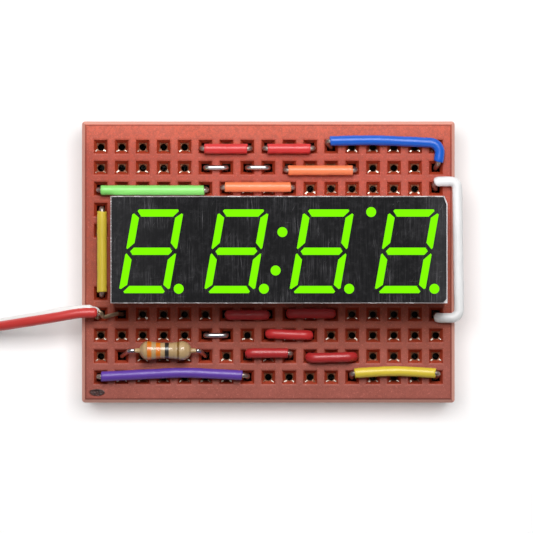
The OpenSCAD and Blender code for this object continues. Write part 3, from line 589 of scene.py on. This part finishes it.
def bent(stops, radii, steps=10):
    """A line through stops with an arc of the given radius at each, and where along it each arc is.

    An arc at stop b starts r tan(turn / 2) before it and ends as far after it; its points are
    centre - n r cos(t) + u r sin(t), with u the way in and n pointing to the arc's centre.
    """
    stops = [np.array(s, float) for s in stops]
    points, spans = [stops[0]], [(0.0, 0.0)]
    far = 0.0
    for a, b, c, r in zip(stops, stops[1:], stops[2:], radii[1:]):
        u, v = unit(b - a), unit(c - b)
        turn = np.arccos(np.clip(u @ v, -1, 1))
        if turn < 0.009:
            run = b[None]
        else:
            n = unit(np.cross(unit(np.cross(u, v)), u))
            t = np.linspace(0, turn, steps + 1)[:, None]
            run = b - u * r * np.tan(turn / 2) + n * r - n * r * np.cos(t) + u * r * np.sin(t)
        start = far + np.linalg.norm(run[0] - points[-1])
        far = start + np.linalg.norm(np.diff(run, axis=0), axis=1).sum()
        spans.append((start, far))
        points.extend(run)
    points.append(stops[-1])
    return np.array(points), spans


def reaches(line):
    """How far along a line each of its points is."""
    return np.concatenate([[0], np.cumsum(np.linalg.norm(np.diff(line, axis=0), axis=1))])


def resampled(line, start=0.0, end=None, step=0.16):
    """Points at even steps along a line, between two lengths of it."""
    reach = reaches(line)
    end = reach[-1] if end is None else end
    s = np.linspace(start, end, max(3, int(np.ceil((end - start) / step)) + 1))
    return np.stack([np.interp(s, reach, line[:, k]) for k in range(3)], 1), s - start


def smooth_line(stops, count):
    """A curve through all stops: cubic Hermite between them, slopes from the neighbours' chord."""
    p = np.array(stops, float)
    far = reaches(p)
    slope = np.gradient(p, far, axis=0)
    s = np.linspace(0, far[-1], count)
    i = np.clip(np.searchsorted(far, s, side="right") - 1, 0, len(p) - 2)
    h = (far[i + 1] - far[i])[:, None]
    t = ((s - far[i]) / h[:, 0])[:, None]
    return (
        (2 * t**3 - 3 * t**2 + 1) * p[i]
        + (t**3 - 2 * t**2 + t) * h * slope[i]
        + (3 * t**2 - 2 * t**3) * p[i + 1]
        + (t**3 - t**2) * h * slope[i + 1]
    )


def carried_frame(line):
    """Tangent, side and up at each point: the side carries on, less its part along the tangent."""
    along = unit(np.gradient(line, axis=0))
    first = np.cross((1.0, 0, 0) if abs(along[0, 2]) > 0.9 else (0, 0, 1.0), along[0])
    side = np.array(list(accumulate(along, lambda s, a: unit(s - a * (a @ s)), initial=unit(first)))[1:])
    return along, side, np.cross(along, side)


def rings(line, radius, sides, shift=None):
    """Circles round a line: line + r (side cos a + up sin a), moved along the line by shift."""
    along, side, up = carried_frame(line)
    a = np.linspace(0, 2 * np.pi, sides, endpoint=False)
    r = np.broadcast_to(radius, (len(line),))[:, None, None]
    around = side[:, None] * np.cos(a)[None, :, None] + up[:, None] * np.sin(a)[None, :, None]
    grid = line[:, None] + r * around
    return grid if shift is None else grid + along[:, None] * shift[:, :, None]


def wrap_of(s, sides):
    """Lengths along the piece, and shares of a turn round it."""
    return np.stack(np.meshgrid(s, np.linspace(0, 1, sides, endpoint=False), indexing="ij"), -1)


def rod(line, s, radius, sides, blunt=0.35):
    """A solid rod, rounded at its ends: r sqrt(1 - 0.6 t^2) over the last stretch, blunt times r."""
    over = blunt * np.max(radius)
    left = np.clip(1 - s / over, 0, 1)
    right = np.clip(1 - (s[-1] - s) / over, 0, 1)
    ends = np.sqrt(np.maximum(0, 1 - np.maximum(left, right) ** 2 * 0.6))
    r = radius * ends
    line = np.concatenate([line[:1], line, line[-1:]])
    r = np.concatenate([[0], r, [0]])
    along = np.gradient(line[1:-1], axis=0)
    line[0], line[-1] = line[1] - unit(along[0]) * 1e-4, line[-2] + unit(along[-1]) * 1e-4
    s = np.concatenate([[0], s, [s[-1]]])
    return rings(line, r, sides), wrap_of(s, sides), cells(len(line), sides)


def hollow(line, s, outer, bore, sides, cuts=((0, 0), (0, 0)), seed=0):
    """A tube with a bore, whose ends are cut at a slant and a little ragged.

    The rings move along the line by slant cos(a - turn) + ragged bumps, which dies away by
    exp(-s / CUT_FADE) from each end, and the lips are 3 % narrower over the last LIP millimetres.
    """
    random = np.random.default_rng(seed)
    a = np.linspace(0, 2 * np.pi, sides, endpoint=False)
    near = [np.exp(-s / CUT_FADE), np.exp(-(s[-1] - s) / CUT_FADE)]
    shift = 0
    for end, (slant, ragged) in enumerate(cuts):
        bumps = sum(np.cos(k * a + random.uniform(0, 6.28)) / k for k in (2, 3, 5, 7))
        profile = slant * np.cos(a - random.uniform(0, 6.28)) + ragged * bumps
        shift = shift + near[end][:, None] * profile[None]
    dents = 1 + 0.012 * np.sin(s * 1.7 + seed) + 0.008 * np.sin(s * 4.3 + 2 * seed)
    lips = 1 - 0.03 * (np.exp(-s / LIP) + np.exp(-(s[-1] - s) / LIP))
    skin = rings(line, outer * dents * lips, sides, shift)
    inside = rings(line, np.full(len(line), bore), sides, shift)[::-1]
    grid = np.concatenate([skin, inside])
    wrap = np.concatenate([wrap_of(s, sides), wrap_of(s[::-1], sides)])
    return grid, wrap, cells(len(grid), sides, close_rows=True)


def strands(line, s, strand_r, twist, seed):
    """Fine wires laid round a line, each turning as it goes at a distance that swells and shrinks."""
    random = np.random.default_rng(seed)
    _, side, up = carried_frame(line)
    made = []
    for k in range(STRAND_COUNT):
        a = 2 * np.pi * k / STRAND_COUNT + twist * s + random.uniform(-0.2, 0.2)
        r = BUNDLE_R * (1 + 0.25 * np.sin(s * 1.3 + k))
        path = line + (side * np.cos(a)[:, None] + up * np.sin(a)[:, None]) * r[:, None]
        made.append(rod(path, s, strand_r, 8))
    return made


def hole(column, row):
    """Middle of a socket: columns from the left, rows from the rear edge, each from 1."""
    x = (column - (COLUMNS + 1) / 2) * PITCH
    if row <= BANK_ROWS:
        return np.array([x, FIRST_ROW_Y + (BANK_ROWS - row) * PITCH])
    return np.array([x, -FIRST_ROW_Y - (row - BANK_ROWS - 1) * PITCH])


def at(socket, lean, z):
    return (socket[0] + lean[0], socket[1] + lean[1], z)


def free_sockets():
    """Sockets that hold no wire and that the display leaves open."""
    held = {(c, r) for first, _, last, *_ in JUMPERS.values() for c, r in (first, last)}
    held |= {socket for pair in BARE_LINKS.values() for socket in pair}
    held |= {*LEAD_SOCKETS, *RESISTOR_SOCKETS}
    held |= {(c, r) for c in COVERED_COLUMNS for r in COVERED_ROWS}
    return [(c, r) for r in range(1, ROWS + 1) for c in range(1, COLUMNS + 1) if (c, r) not in held]


def mouth(middle, seed):
    """A clip's mouth in a socket, and its two tips.

    The mouth goes from the square throat, ray / max(|cos a|, |sin a|), to a circle and down. A tip
    is a small box, turned outwards, whose far end is sunk in the funnel's slope.
    """
    random = np.random.default_rng(seed)
    a = np.linspace(0, 2 * np.pi, 16, endpoint=False)
    ray = np.stack([np.cos(a), np.sin(a)], 1)
    plan = [ray / np.abs(ray).max(1, keepdims=True) * THROAT_HALF]
    plan += [ray * r - (0, MOUTH_SHIFT) for r in (MOUTH_R, FOOT_R)]
    grid = np.stack([np.column_stack([p + middle, np.full(16, z)]) for p, z in zip(plan, MOUTH_Z)])
    made = [(grid, np.zeros((3, 16, 2)), cells(3, 16))]
    for side in (-1, 1):
        # how strong this tip's painted glint is
        shine = random.uniform(0.0, 1.0)
        length, width = random.uniform(0.11, 0.2), random.uniform(0.05, 0.09)
        turn = np.radians(-90 + side * random.uniform(48, 74))
        out, over = np.array([np.cos(turn), np.sin(turn)]), np.array([-np.sin(turn), np.cos(turn)])
        place = middle + (side * random.uniform(0.46, 0.54), random.uniform(-0.51, -0.43))
        corners = (-1, -1), (1, -1), (1, 1), (-1, 1)
        around = [place + u * length * out + v * width * over for u, v in corners]
        top = CLIP_TIP_Z + random.uniform(-0.03, 0.03)
        box = np.stack([np.column_stack([around, np.full(4, z)]) for z in (top - CLIP_TIP_T, top)])
        caps = np.array([[3, 2, 1, 0], [4, 5, 6, 7]])
        made.append((box, np.full((2, 4, 2), shine), np.concatenate([cells(2, 4), caps])))
    return made


# name: first socket and its lean, last socket and its lean, stops between them, how far the sleeve
# reaches round its two end bends in degrees, and slant and raggedness of its two cut ends. A lean is
# how far the end bend is off the socket, and its radius. A stop is a socket or None for the board's
# middle, an offset from it and a radius.
JUMPERS = {
    "red_jumper_a": (
        (6, 1), (-0.65, -0.26, SHARP), (8, 1), (0.5, -0.26, SHARP),
        [], (2, 2), ((0.02, 0.02), (0.05, 0.02))
    ),
    "red_jumper_b": (
        (9, 1), (-0.65, -0.25, SHARP), (11, 1), (0.5, -0.25, SHARP),
        [], (2, 2), ((0.05, 0.02), (0.02, 0.02))
    ),
    "red_jumper_c": (
        (7, 7), (0, -0.06, BEND), (9, 7), (0, -0.06, BEND),
        [], (45, 45), ((0.03, 0.02), (0.05, 0.03))
    ),
    "red_jumper_d": (
        (10, 7), (-0.1, 0.12, BEND), (12, 7), (0.2, 0.12, BEND),
        [], (60, 70), ((0.05, 0.02), (0.04, 0.02))
    ),
    "red_jumper_e": (
        (9, 8), (0, 0.25, BEND), (11, 8), (0, 0.05, BEND),
        [((10, 8), (0, 0.1), 6)], (61, 61), ((0.06, 0.03), (0.04, 0.02))
    ),
    "red_jumper_f": (
        (8, 9), (-0.1, 0.4, BEND), (10, 9), (0.23, 0.42, SHARP),
        [], (52, 2), ((0.05, 0.02), (0.03, 0.02))
    ),
    "red_jumper_g": (
        (11, 9), (-0.22, -0.2, BEND), (13, 9), (0.36, -0.05, BEND),
        [], (80, 80), ((0.04, 0.02), (0.05, 0.02))
    ),
    "orange_jumper_a": (
        (10, 2), (-0.7, -0.33, SHARP), (13, 2), (0.56, -0.33, SHARP),
        [], (2, 2), ((0.05, 0.02), (0.03, 0.02))
    ),
    "orange_jumper_b": (
        (7, 3), (-0.72, 0.19, SHARP), (10, 3), (0.65, 0.19, SHARP),
        [], (2, 12), ((0.04, 0.02), (0.04, 0.03))
    ),
    "green_jumper": (
        (1, 3), (-0.39, -0.2, SHARP), (6, 3), (0.25, -0.2, SHARP),
        [], (2, 2), ((0.03, 0.02), (0.04, 0.02))
    ),
    "blue_jumper": (
        (12, 1), (-0.65, 0.66, SHARP), (17, 2), (0.25, 0.5, BEND),
        [((14, 1), (0, 0.8), 60), ((17, 1), (0.58, 0.42), 1.2)], (2, 20), ((0.04, 0.02), (0.06, 0.02))
    ),
    "yellow_jumper_a": (
        (1, 4), (0.19, 0.18, SHARP), (1, 6), (0.19, -0.25, SHARP),
        [], (2, 2), ((0.05, 0.03), (0.05, 0.02))
    ),
    "yellow_jumper_b": (
        (13, 10), (-0.09, 0.5, SHARP), (17, 10), (0.35, 0.5, SHARP),
        [((15, 10), (0, 0.82), 30)], (2, 2), ((0.04, 0.03), (0.08, 0.09))
    ),
    "purple_jumper": (
        (1, 10), (-0.36, 0.09, SHARP), (8, 10), (0.1, 0.23, BEND),
        [((5, 10), (0, 0.62), 40)], (2, 5), ((0.05, 0.02), (0.04, 0.02))
    ),
    "white_jumper": (
        (17, 3), (-0.45, 0.86, BEND), (17, 7), (-0.16, -0.42, BEND),
        [(None, (22.85, 9.75), 0.8), (None, (23.1, -6.77), 1)], (34, 50), ((0.18, 0.02), (0.04, 0.02))
    ),
}
# sleeves that get the darker red copy, a painted shade
SHADED_RED = [f"red_jumper_{letter}" for letter in "cdfg"]
BARE_LINKS = {
    "bare_link_a": ((6, 2), (7, 2)),
    "bare_link_b": ((8, 2), (9, 2)),
    "bare_link_c": ((6, 8), (7, 8)),
}


def film_lips(node, cover, round_cover, gap=0.06, high=0.015):
    """Closed flat rings of film over the rims of a node's flat tops, in millimetres.

    Each outline carries a rectangle round, from the gap outside it to the cover inside it. A corner moves
    along its mitre: the sum of its two edges' inward normals over one plus their dot product. The tops
    are the node's highest faces, and an outline of ROUND_SIDES or more is a round one.
    """
    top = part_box(node)[1][2]
    work = merged(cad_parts[node].data)
    under = [face for face in work.faces if face.calc_center_median().z < top - 1e-6]
    bmesh.ops.delete(work, geom=under, context="FACES")
    bmesh.ops.dissolve_faces(work, faces=work.faces[:])
    lips = []
    for face in work.faces:
        outline = np.array([vert.co for vert in face.verts]) / MM
        edge = unit(np.roll(outline, -1, axis=0) - outline)
        inward = np.stack([-edge[:, 1], edge[:, 0], 0 * edge[:, 0]], -1)
        before = np.roll(inward, 1, axis=0)
        mitre = (inward + before) / (1 + (inward * before).sum(-1, keepdims=True))
        inner = outline + mitre * (cover if len(outline) < ROUND_SIDES else round_cover)
        outer = outline - mitre * gap
        up = np.array([0, 0, high])
        grid = np.stack([inner, outer, outer + up, inner + up])
        lips.append((grid, grid[..., :2], cells(*grid.shape[:2], close_rows=True)))
    work.free()
    return lips


def jumper_line(first, lean_a, last, lean_b, between):
    """A jumper's line: up out of its socket, along the board, and down into the other socket."""
    a, b = hole(*first), hole(*last)
    stops = [(*a, LEG_END_Z), (*a, LEAN_Z), at(a, lean_a[:2], SLEEVE_Z)]
    radii = [0, LEG_BEND, lean_a[2]]
    for socket, shift, radius in between:
        stops.append(at(hole(*socket) if socket else (0, 0), shift, SLEEVE_Z))
        radii.append(radius)
    stops += [at(b, lean_b[:2], SLEEVE_Z), (*b, LEAN_Z), (*b, LEG_END_Z)]
    return bent(stops, radii + [lean_b[2], LEG_BEND, 0])


# the power leads' routes in millimetres, from the board to the straight run before their coils
RED_ROUTE = [
    (-20.65, -6.1, 11.21), (-22.9, -6.2, 11.26), (-25.2, -6.6, 11.1), (-27.6, -7.0, 10.6),
    (-30.1, -7.4, 9.7), (-32.6, -7.8, 8.5), (-35.1, -8.1, 7.1), (-37.5, -8.4, 5.6),
    (-39.9, -8.7, 4.2), (-42.0, -9.0, 3.1), (-44.2, -9.33, 2.3),
]
WHITE_ROUTE = [
    (-21.72, -5.78, 10.05), (-22.9, -5.83, 10.05), (-25.1, -6.1, 9.85), (-27.5, -6.6, 9.2),
    (-29.8, -7.0, 8.1), (-32.1, -7.4, 6.7), (-34.3, -7.8, 5.1), (-36.6, -8.2, 3.5),
    (-39.1, -8.6, 2.2), (-41.7, -9.0, 1.2), (-44.0, -9.3, 0.92),
]
# middle of the coils, angle and length of the straight run into them, their heights, and how many
# points a route and a turn have
COIL_MID = np.array([-50.0, -18.7])
ENTRY_ANGLE = np.radians(99)
ENTRY_RUN = 5.0
LAYER_Z = {"red": 2.02, "white": 0.8}
ROUTE_POINTS, TURN_POINTS = 46, 30
# the bare strands' stops and bend radii, and the white lead's turned end
RED_BARE = (
    [(-20.6, -6.1, 11.21), (-20.23, -6.1, 11.21), (-19.95, -6.7, 10.61), (-18.3, -6.25, 9.7),
     (-17.78, -6.35, 8.6), (-17.78, -6.35, 3.4)],
    [0, 0.2, 0.3, 0.3, 0.5, 0],
)
CURL = ([(-22.3, -5.8, 10.06), (-20.68, -5.74, 10.04), (-20.66, -6.46, 9.96)], [0, 0.42, 0])
WHITE_BARE = (
    [(-20.72, -6.53, 10.05), (-20.72, -6.83, 10.05), (-20.32, -6.35, 8.6), (-20.32, -6.35, 3.4)],
    [0, 0.2, 0.3, 0],
)


def lead_line(route, z, looks):
    """A lead's whole line: its route, a straight run, and a flat spiral from outer to inner radius."""
    outer, inner = looks.coil_outer_r / MM, looks.coil_inner_r / MM
    entry = COIL_MID + outer * np.array([np.cos(ENTRY_ANGLE), np.sin(ENTRY_ANGLE)])
    start = entry + ENTRY_RUN * np.array([np.sin(ENTRY_ANGLE), -np.cos(ENTRY_ANGLE)])
    slope = smooth_line(route + [(*start, z), (*entry, z)], ROUTE_POINTS)
    turns = np.linspace(0, looks.turns, int(looks.turns * TURN_POINTS))[1:]
    angle = ENTRY_ANGLE + 2 * np.pi * turns
    r = outer + (inner - outer) * turns / looks.turns
    x, y = COIL_MID[0] + r * np.cos(angle), COIL_MID[1] + r * np.sin(angle)
    return np.concatenate([slope, np.stack([x, y, np.full_like(r, z)], 1)])


def looks_of(name):
    return getattr(bpy.context.scene, name)


def dress(nodes, material):
    for name in nodes:
        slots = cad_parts[name].data.materials
        slots.clear()
        slots.append(material)


class SetCamera(Operator):
    """Places the camera over the board, looking straight down as in the photograph"""

    bl_idname = "display_board.camera"
    bl_label = "Camera"

    def execute(self, context):
        looks = looks_of("stage_looks")
        data = bpy.data.cameras.new("camera")
        data.sensor_width = SENSOR
        data.lens = SENSOR * FOCAL_LENGTH / PHOTO_WIDTH
        data.clip_start, data.clip_end = 0.01, 10.0
        camera = bpy.data.objects.new("camera", data)
        camera.location = (CAMERA_X * MM, CAMERA_Y * MM, looks.camera_height)
        context.scene.collection.objects.link(camera)
        context.scene.camera = camera
        return {"FINISHED"}


class MakeLeads(Operator):
    """Runs both power leads from the board down to their coils, with stripped ends"""

    bl_idname = "display_board.leads"
    bl_label = "Power leads"

    def execute(self, context):
        looks = looks_of("lead_looks")
        radius = looks.lead_d / MM / 2
        sides = looks_of("wiring_looks").sides
        tin = tinned_metal("fine_strands", looks.strand, rough=0.36, wear=0.3)
        skins = {c: sleeve_plastic(f"{c}_lead_plastic", getattr(looks, c)) for c in ("red", "white")}
        for name, route in (("red", RED_ROUTE), ("white", WHITE_ROUTE)):
            path = lead_line(route, LAYER_Z[name], looks)
            line, s = resampled(path, step=0.25)
            dents = 1 + 0.01 * np.sin(s * 0.9) + 0.006 * np.sin(s * 2.3 + 1)
            lead = mesh_piece(
                f"{name}_power_lead", [rod(line, s, radius * dents, sides, blunt=0.2)], skins[name],
            )
            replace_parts(lead, f"{name}_lead", f"{name}_lead_coil")
            tail = line[-1] + np.linspace(0, 1, 20)[:, None] * unit(line[-1] - line[-3])[None] * STRIPPED
            tip_line, tip_s = resampled(tail, step=0.2)
            fine = strands(tip_line, tip_s, 0.085, 1.1, 5)
            tip = mesh_piece(f"{name}_lead_tip", fine, tin)
        line, s = resampled(bent(*CURL)[0], step=0.1)
        # the sleeve's end narrows over half a millimetre to where it was pinched
        narrow = np.clip((s - 0.7) / 0.5, 0, 1)
        pinched = radius * 1.01 - (radius - PINCHED_R) * narrow**2 * (3 - 2 * narrow)
        curl = mesh_piece("white_lead_end", [rod(line, s, pinched, sides, blunt=0.1)],
                          skins["white"])
        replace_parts(curl, "white_lead_curl")
        fine = []
        for route, seed in ((RED_BARE, 3), (WHITE_BARE, 4)):
            line, s = resampled(bent(*route)[0], step=0.12)
            fine += strands(line, s, 0.09, 1.2, seed)
        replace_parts(mesh_piece("stranded_ends", fine, tin), "lead_bare_ends")
        dress(["lead_tie"], moulded("paper_tie", looks.tie, 8.0, 0.08, 0.6))
        return {"FINISHED"}


class DressBoard(Operator):
    """Gives the board, its clips and its pad their finishes"""

    bl_idname = "display_board.board"
    bl_label = "Board"

    def execute(self, context):
        looks = looks_of("board_looks")
        dress(["breadboard_body"], board_plastic(looks))
        dress(["rear_bank_clips", "front_bank_clips"], clip_metal(looks))
        mouths = []
        for seed, socket in enumerate(free_sockets()):
            mouths += mouth(hole(*socket), seed)
        mesh_piece("clip_mouths", mouths, spring_mouth_metal(looks), smooth=False)
        dress(["adhesive_foam_pad"], moulded("pad_foam", looks.foam, 5.0, 0.1, 0.75, 0.05))
        dress(["release_liner"], moulded("liner_paper", looks.liner, 3.0, 0.08, 0.5, 0.01))
        return {"FINISHED"}


class DressDisplay(Operator):
    """Gives the display's film, housing, lit segments, board and pins their finishes"""

    bl_idname = "display_board.display"
    bl_label = "Display"

    def execute(self, context):
        looks = looks_of("display_looks")
        guides = [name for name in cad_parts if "light_guide" in name]
        if len(guides) != 6:
            raise RuntimeError(f"six sets of light guides were expected, and {len(guides)} were found")
        dress(guides, lit_resin(looks))
        film = brushed_film(looks)
        dress(["display_face_film"], film)
        lips = [lip for name in guides for lip in film_lips(name, cover=0.005, round_cover=0.055)]
        mesh_piece("film_lips", lips, film, smooth=False)
        dress(["display_housing"], rubbed_housing(looks))
        dress(["display_circuit_board"], moulded("laminate", looks.laminate, 2.0, 0.12, 0.5))
        dress(["led_dies"], moulded("crystal_dies", linear(180, 205, 110), 20.0, 0.1, 0.2))
        tin = tinned_metal("tinned_pins", looks_of("wiring_looks").tin)
        dress(["display_pins_rear_row", "display_pins_front_row"], tin)
        return {"FINISHED"}


class MakeJumpers(Operator):
    """Makes every jumper's wire and sleeve, and the bare links"""

    bl_idname = "display_board.jumpers"
    bl_label = "Jumpers"

    def execute(self, context):
        looks = looks_of("wiring_looks")
        outer, inner = looks.sleeve_d / MM / 2, looks.wire_d / MM / 2
        tin = tinned_metal("dull_tinned_wire", looks.dull_tin, 0.34, 0.2)
        skins = {}
        for seed, (name, entry) in enumerate(JUMPERS.items()):
            first, lean_a, last, lean_b, between, cover, cuts = entry
            hue = name.split("_")[0]
            shade = "deep_red" if name in SHADED_RED else hue
            if shade not in skins:
                skins[shade] = sleeve_plastic(f"{shade}_sleeve", getattr(looks, shade))
            path, spans = jumper_line(first, lean_a, last, lean_b, between)
            line, s = resampled(path)
            wire = mesh_piece(f"{name}_conductor", [rod(line, s, inner, 16)], tin)
            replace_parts(wire, f"{name}_wire")
            start = spans[2][1] - lean_a[2] * np.radians(cover[0])
            end = spans[-2][0] + lean_b[2] * np.radians(cover[1])
            line, s = resampled(path, start, end, 0.12)
            skin = mesh_piece(
                f"{name}_skin", [hollow(line, s, outer, inner + 0.02, looks.sides, cuts, seed)],
                skins[shade],
            )
            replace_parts(skin, f"{name}_sleeve")
        tin = tinned_metal("tinned_wire", looks.tin, 0.22, 0.2)
        for name, (a, b) in BARE_LINKS.items():
            a, b = hole(*a), hole(*b)
            stops = [(*a, LEG_END_Z), (*a, LINK_Z), (*b, LINK_Z), (*b, LEG_END_Z)]
            line, s = resampled(bent(stops, [0, LEG_BEND, LEG_BEND, 0])[0], step=0.12)
            link = mesh_piece(f"{name}_wire", [rod(line, s, inner, 16)], tin)
            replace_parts(link, name)
        return {"FINISHED"}


class MakeResistor(Operator):
    """Makes the resistor's lacquered body with its bands, and its two leads"""

    bl_idname = "display_board.resistor"
    bl_label = "Resistor"

    def execute(self, context):
        looks = looks_of("resistor_looks")
        half = looks.body_l / MM / 2
        bulb, waist, lead = (d / MM / 2 for d in (looks.bulb_d, looks.waist_d, looks.lead_d))
        tip = half + NECK_L
        # radius: waist to bulb by a smooth step, bulb to its end by (1 - t^2)^0.6, and a neck each side
        x = np.sin(np.linspace(-np.pi / 2, np.pi / 2, 97)) * tip
        far = np.abs(x)
        rise = np.clip((far / half - WAIST_TO) / (WIDEST - WAIST_TO), 0, 1)
        fall = np.clip((far / half - WIDEST) / (1 - WIDEST), 0, 1)
        swell = waist + (bulb - waist) * rise**2 * (3 - 2 * rise)
        bulbs = np.where(fall > 0, bulb * (1 - fall**2) ** 0.6, swell)
        along = np.clip((far - WIDEST * half) / (tip - WIDEST * half), 0, 1)
        r = np.maximum(bulbs, NECK_R - (NECK_R - lead) * along**2)
        line = RESISTOR + np.stack([x, 0 * x, 0 * x], 1)
        body = mesh_piece("lacquered_resistor", [rod(line, x + tip, r, 48, blunt=0.01)],
                          lacquer(looks, RESISTOR[0]))
        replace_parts(body, "resistor_body", "resistor_bands")
        wires = []
        for side, reach, socket in zip((-1, 1), RESISTOR_RUNS, RESISTOR_SOCKETS):
            end, foot = RESISTOR + (side * tip, 0, 0), hole(*socket)
            stops = [end, end + (side * reach, 0, 0), (*foot, LEAN_Z), (*foot, LEG_END_Z)]
            line, s = resampled(bent(stops, [0, 0.4, LEG_BEND, 0])[0], step=0.12)
            wires.append(rod(line, s, lead, 16))
        tin = tinned_metal("resistor_tin", looks_of("wiring_looks").tin, 0.2, 0.15)
        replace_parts(mesh_piece("resistor_wires", wires, tin), "resistor_leads")
        return {"FINISHED"}


class SetStage(Operator):
    """Adds the pale table, the soft lamps and the even light all round"""

    bl_idname = "display_board.stage"
    bl_label = "Stage"

    def execute(self, context):
        looks = looks_of("stage_looks")
        u = np.linspace(-TABLE_HALF, TABLE_HALF, TABLE_POINTS)
        x, y = np.meshgrid(u, u, indexing="ij")
        grid = np.stack([x, y, 0 * x], -1)
        sheet = grid, grid[..., :2], cells(TABLE_POINTS, TABLE_POINTS, close_columns=False)
        floor = mesh_piece("table", [sheet], table_top(looks), body=None)
        # place in metres, size and power. The table has a lamp of its own, and the others don't reach it.
        for name, place, size, power in (
            ("window_lamp", (0.01, 0.11, 0.215), (0.12, 0.12), looks.lamp),
            ("ceiling_lamp", (-0.05, 0.25, 0.95), (0.7, 0.7), looks.lamp * 1.2),
            ("bare_bulb", (0.0, 0.05, 0.236), (0.01, 0.01), looks.lamp * 0.06),
            ("table_lamp", (0.0, 0.31, 2.0), (1.2, 0.66), looks.table_lamp),
        ):
            data = bpy.data.lights.new(name, "AREA")
            data.shape, data.size, data.size_y, data.energy = "RECTANGLE", *size, power
            lamp = bpy.data.objects.new(name, data)
            lamp.location = place
            aim = unit(-np.array(place))
            tilt = np.arctan2(np.hypot(aim[0], aim[1]), -aim[2])
            lamp.rotation_euler = (tilt, 0, np.arctan2(-aim[0], aim[1]))
            context.scene.collection.objects.link(lamp)
            reach = bpy.data.collections.new(f"{name}_reach")
            reach.objects.link(floor)
            link = reach.collection_objects[0].light_linking
            link.link_state = "INCLUDE" if name == "table_lamp" else "EXCLUDE"
            lamp.light_linking.receiver_collection = reach
        world = bpy.data.worlds.new("sky")
        world.use_nodes = True
        world.node_tree.nodes["Background"].inputs[0].default_value = (1, 1, 1, 1)
        world.node_tree.nodes["Background"].inputs[1].default_value = looks.sky
        context.scene.world = world
        context.scene.view_settings.view_transform = "Standard"
        return {"FINISHED"}


OPERATORS = (SetCamera, MakeLeads, DressBoard, DressDisplay, MakeJumpers, MakeResistor, SetStage)


class DisplayBoardPanel(Panel):
    """Sizes, colours and build steps of the display board"""

    bl_idname = "VIEW3D_PT_display_board"
    bl_label = "Display board"
    bl_space_type = "VIEW_3D"
    bl_region_type = "UI"
    bl_category = "Display board"

    def draw(self, context):
        for name, group in LOOKS.items():
            box = self.layout.box()
            box.label(text=name.replace("_", " "))
            for key in group.__annotations__:
                box.prop(getattr(context.scene, name), key)
        for step in OPERATORS:
            self.layout.operator(step.bl_idname)


def register():
    for group in LOOKS.values():
        bpy.utils.register_class(group)
    for name, group in LOOKS.items():
        setattr(bpy.types.Scene, name, PointerProperty(type=group))
    for item in (*OPERATORS, DisplayBoardPanel):
        bpy.utils.register_class(item)


def unregister():
    for item in (DisplayBoardPanel, *OPERATORS[::-1]):
        bpy.utils.unregister_class(item)
    for name, group in LOOKS.items():
        delattr(bpy.types.Scene, name)
        bpy.utils.unregister_class(group)


def main():
    register()
    for step in OPERATORS:
        getattr(bpy.ops.display_board, step.bl_idname.split(".")[1])()


if __name__ == "__main__":
    main()
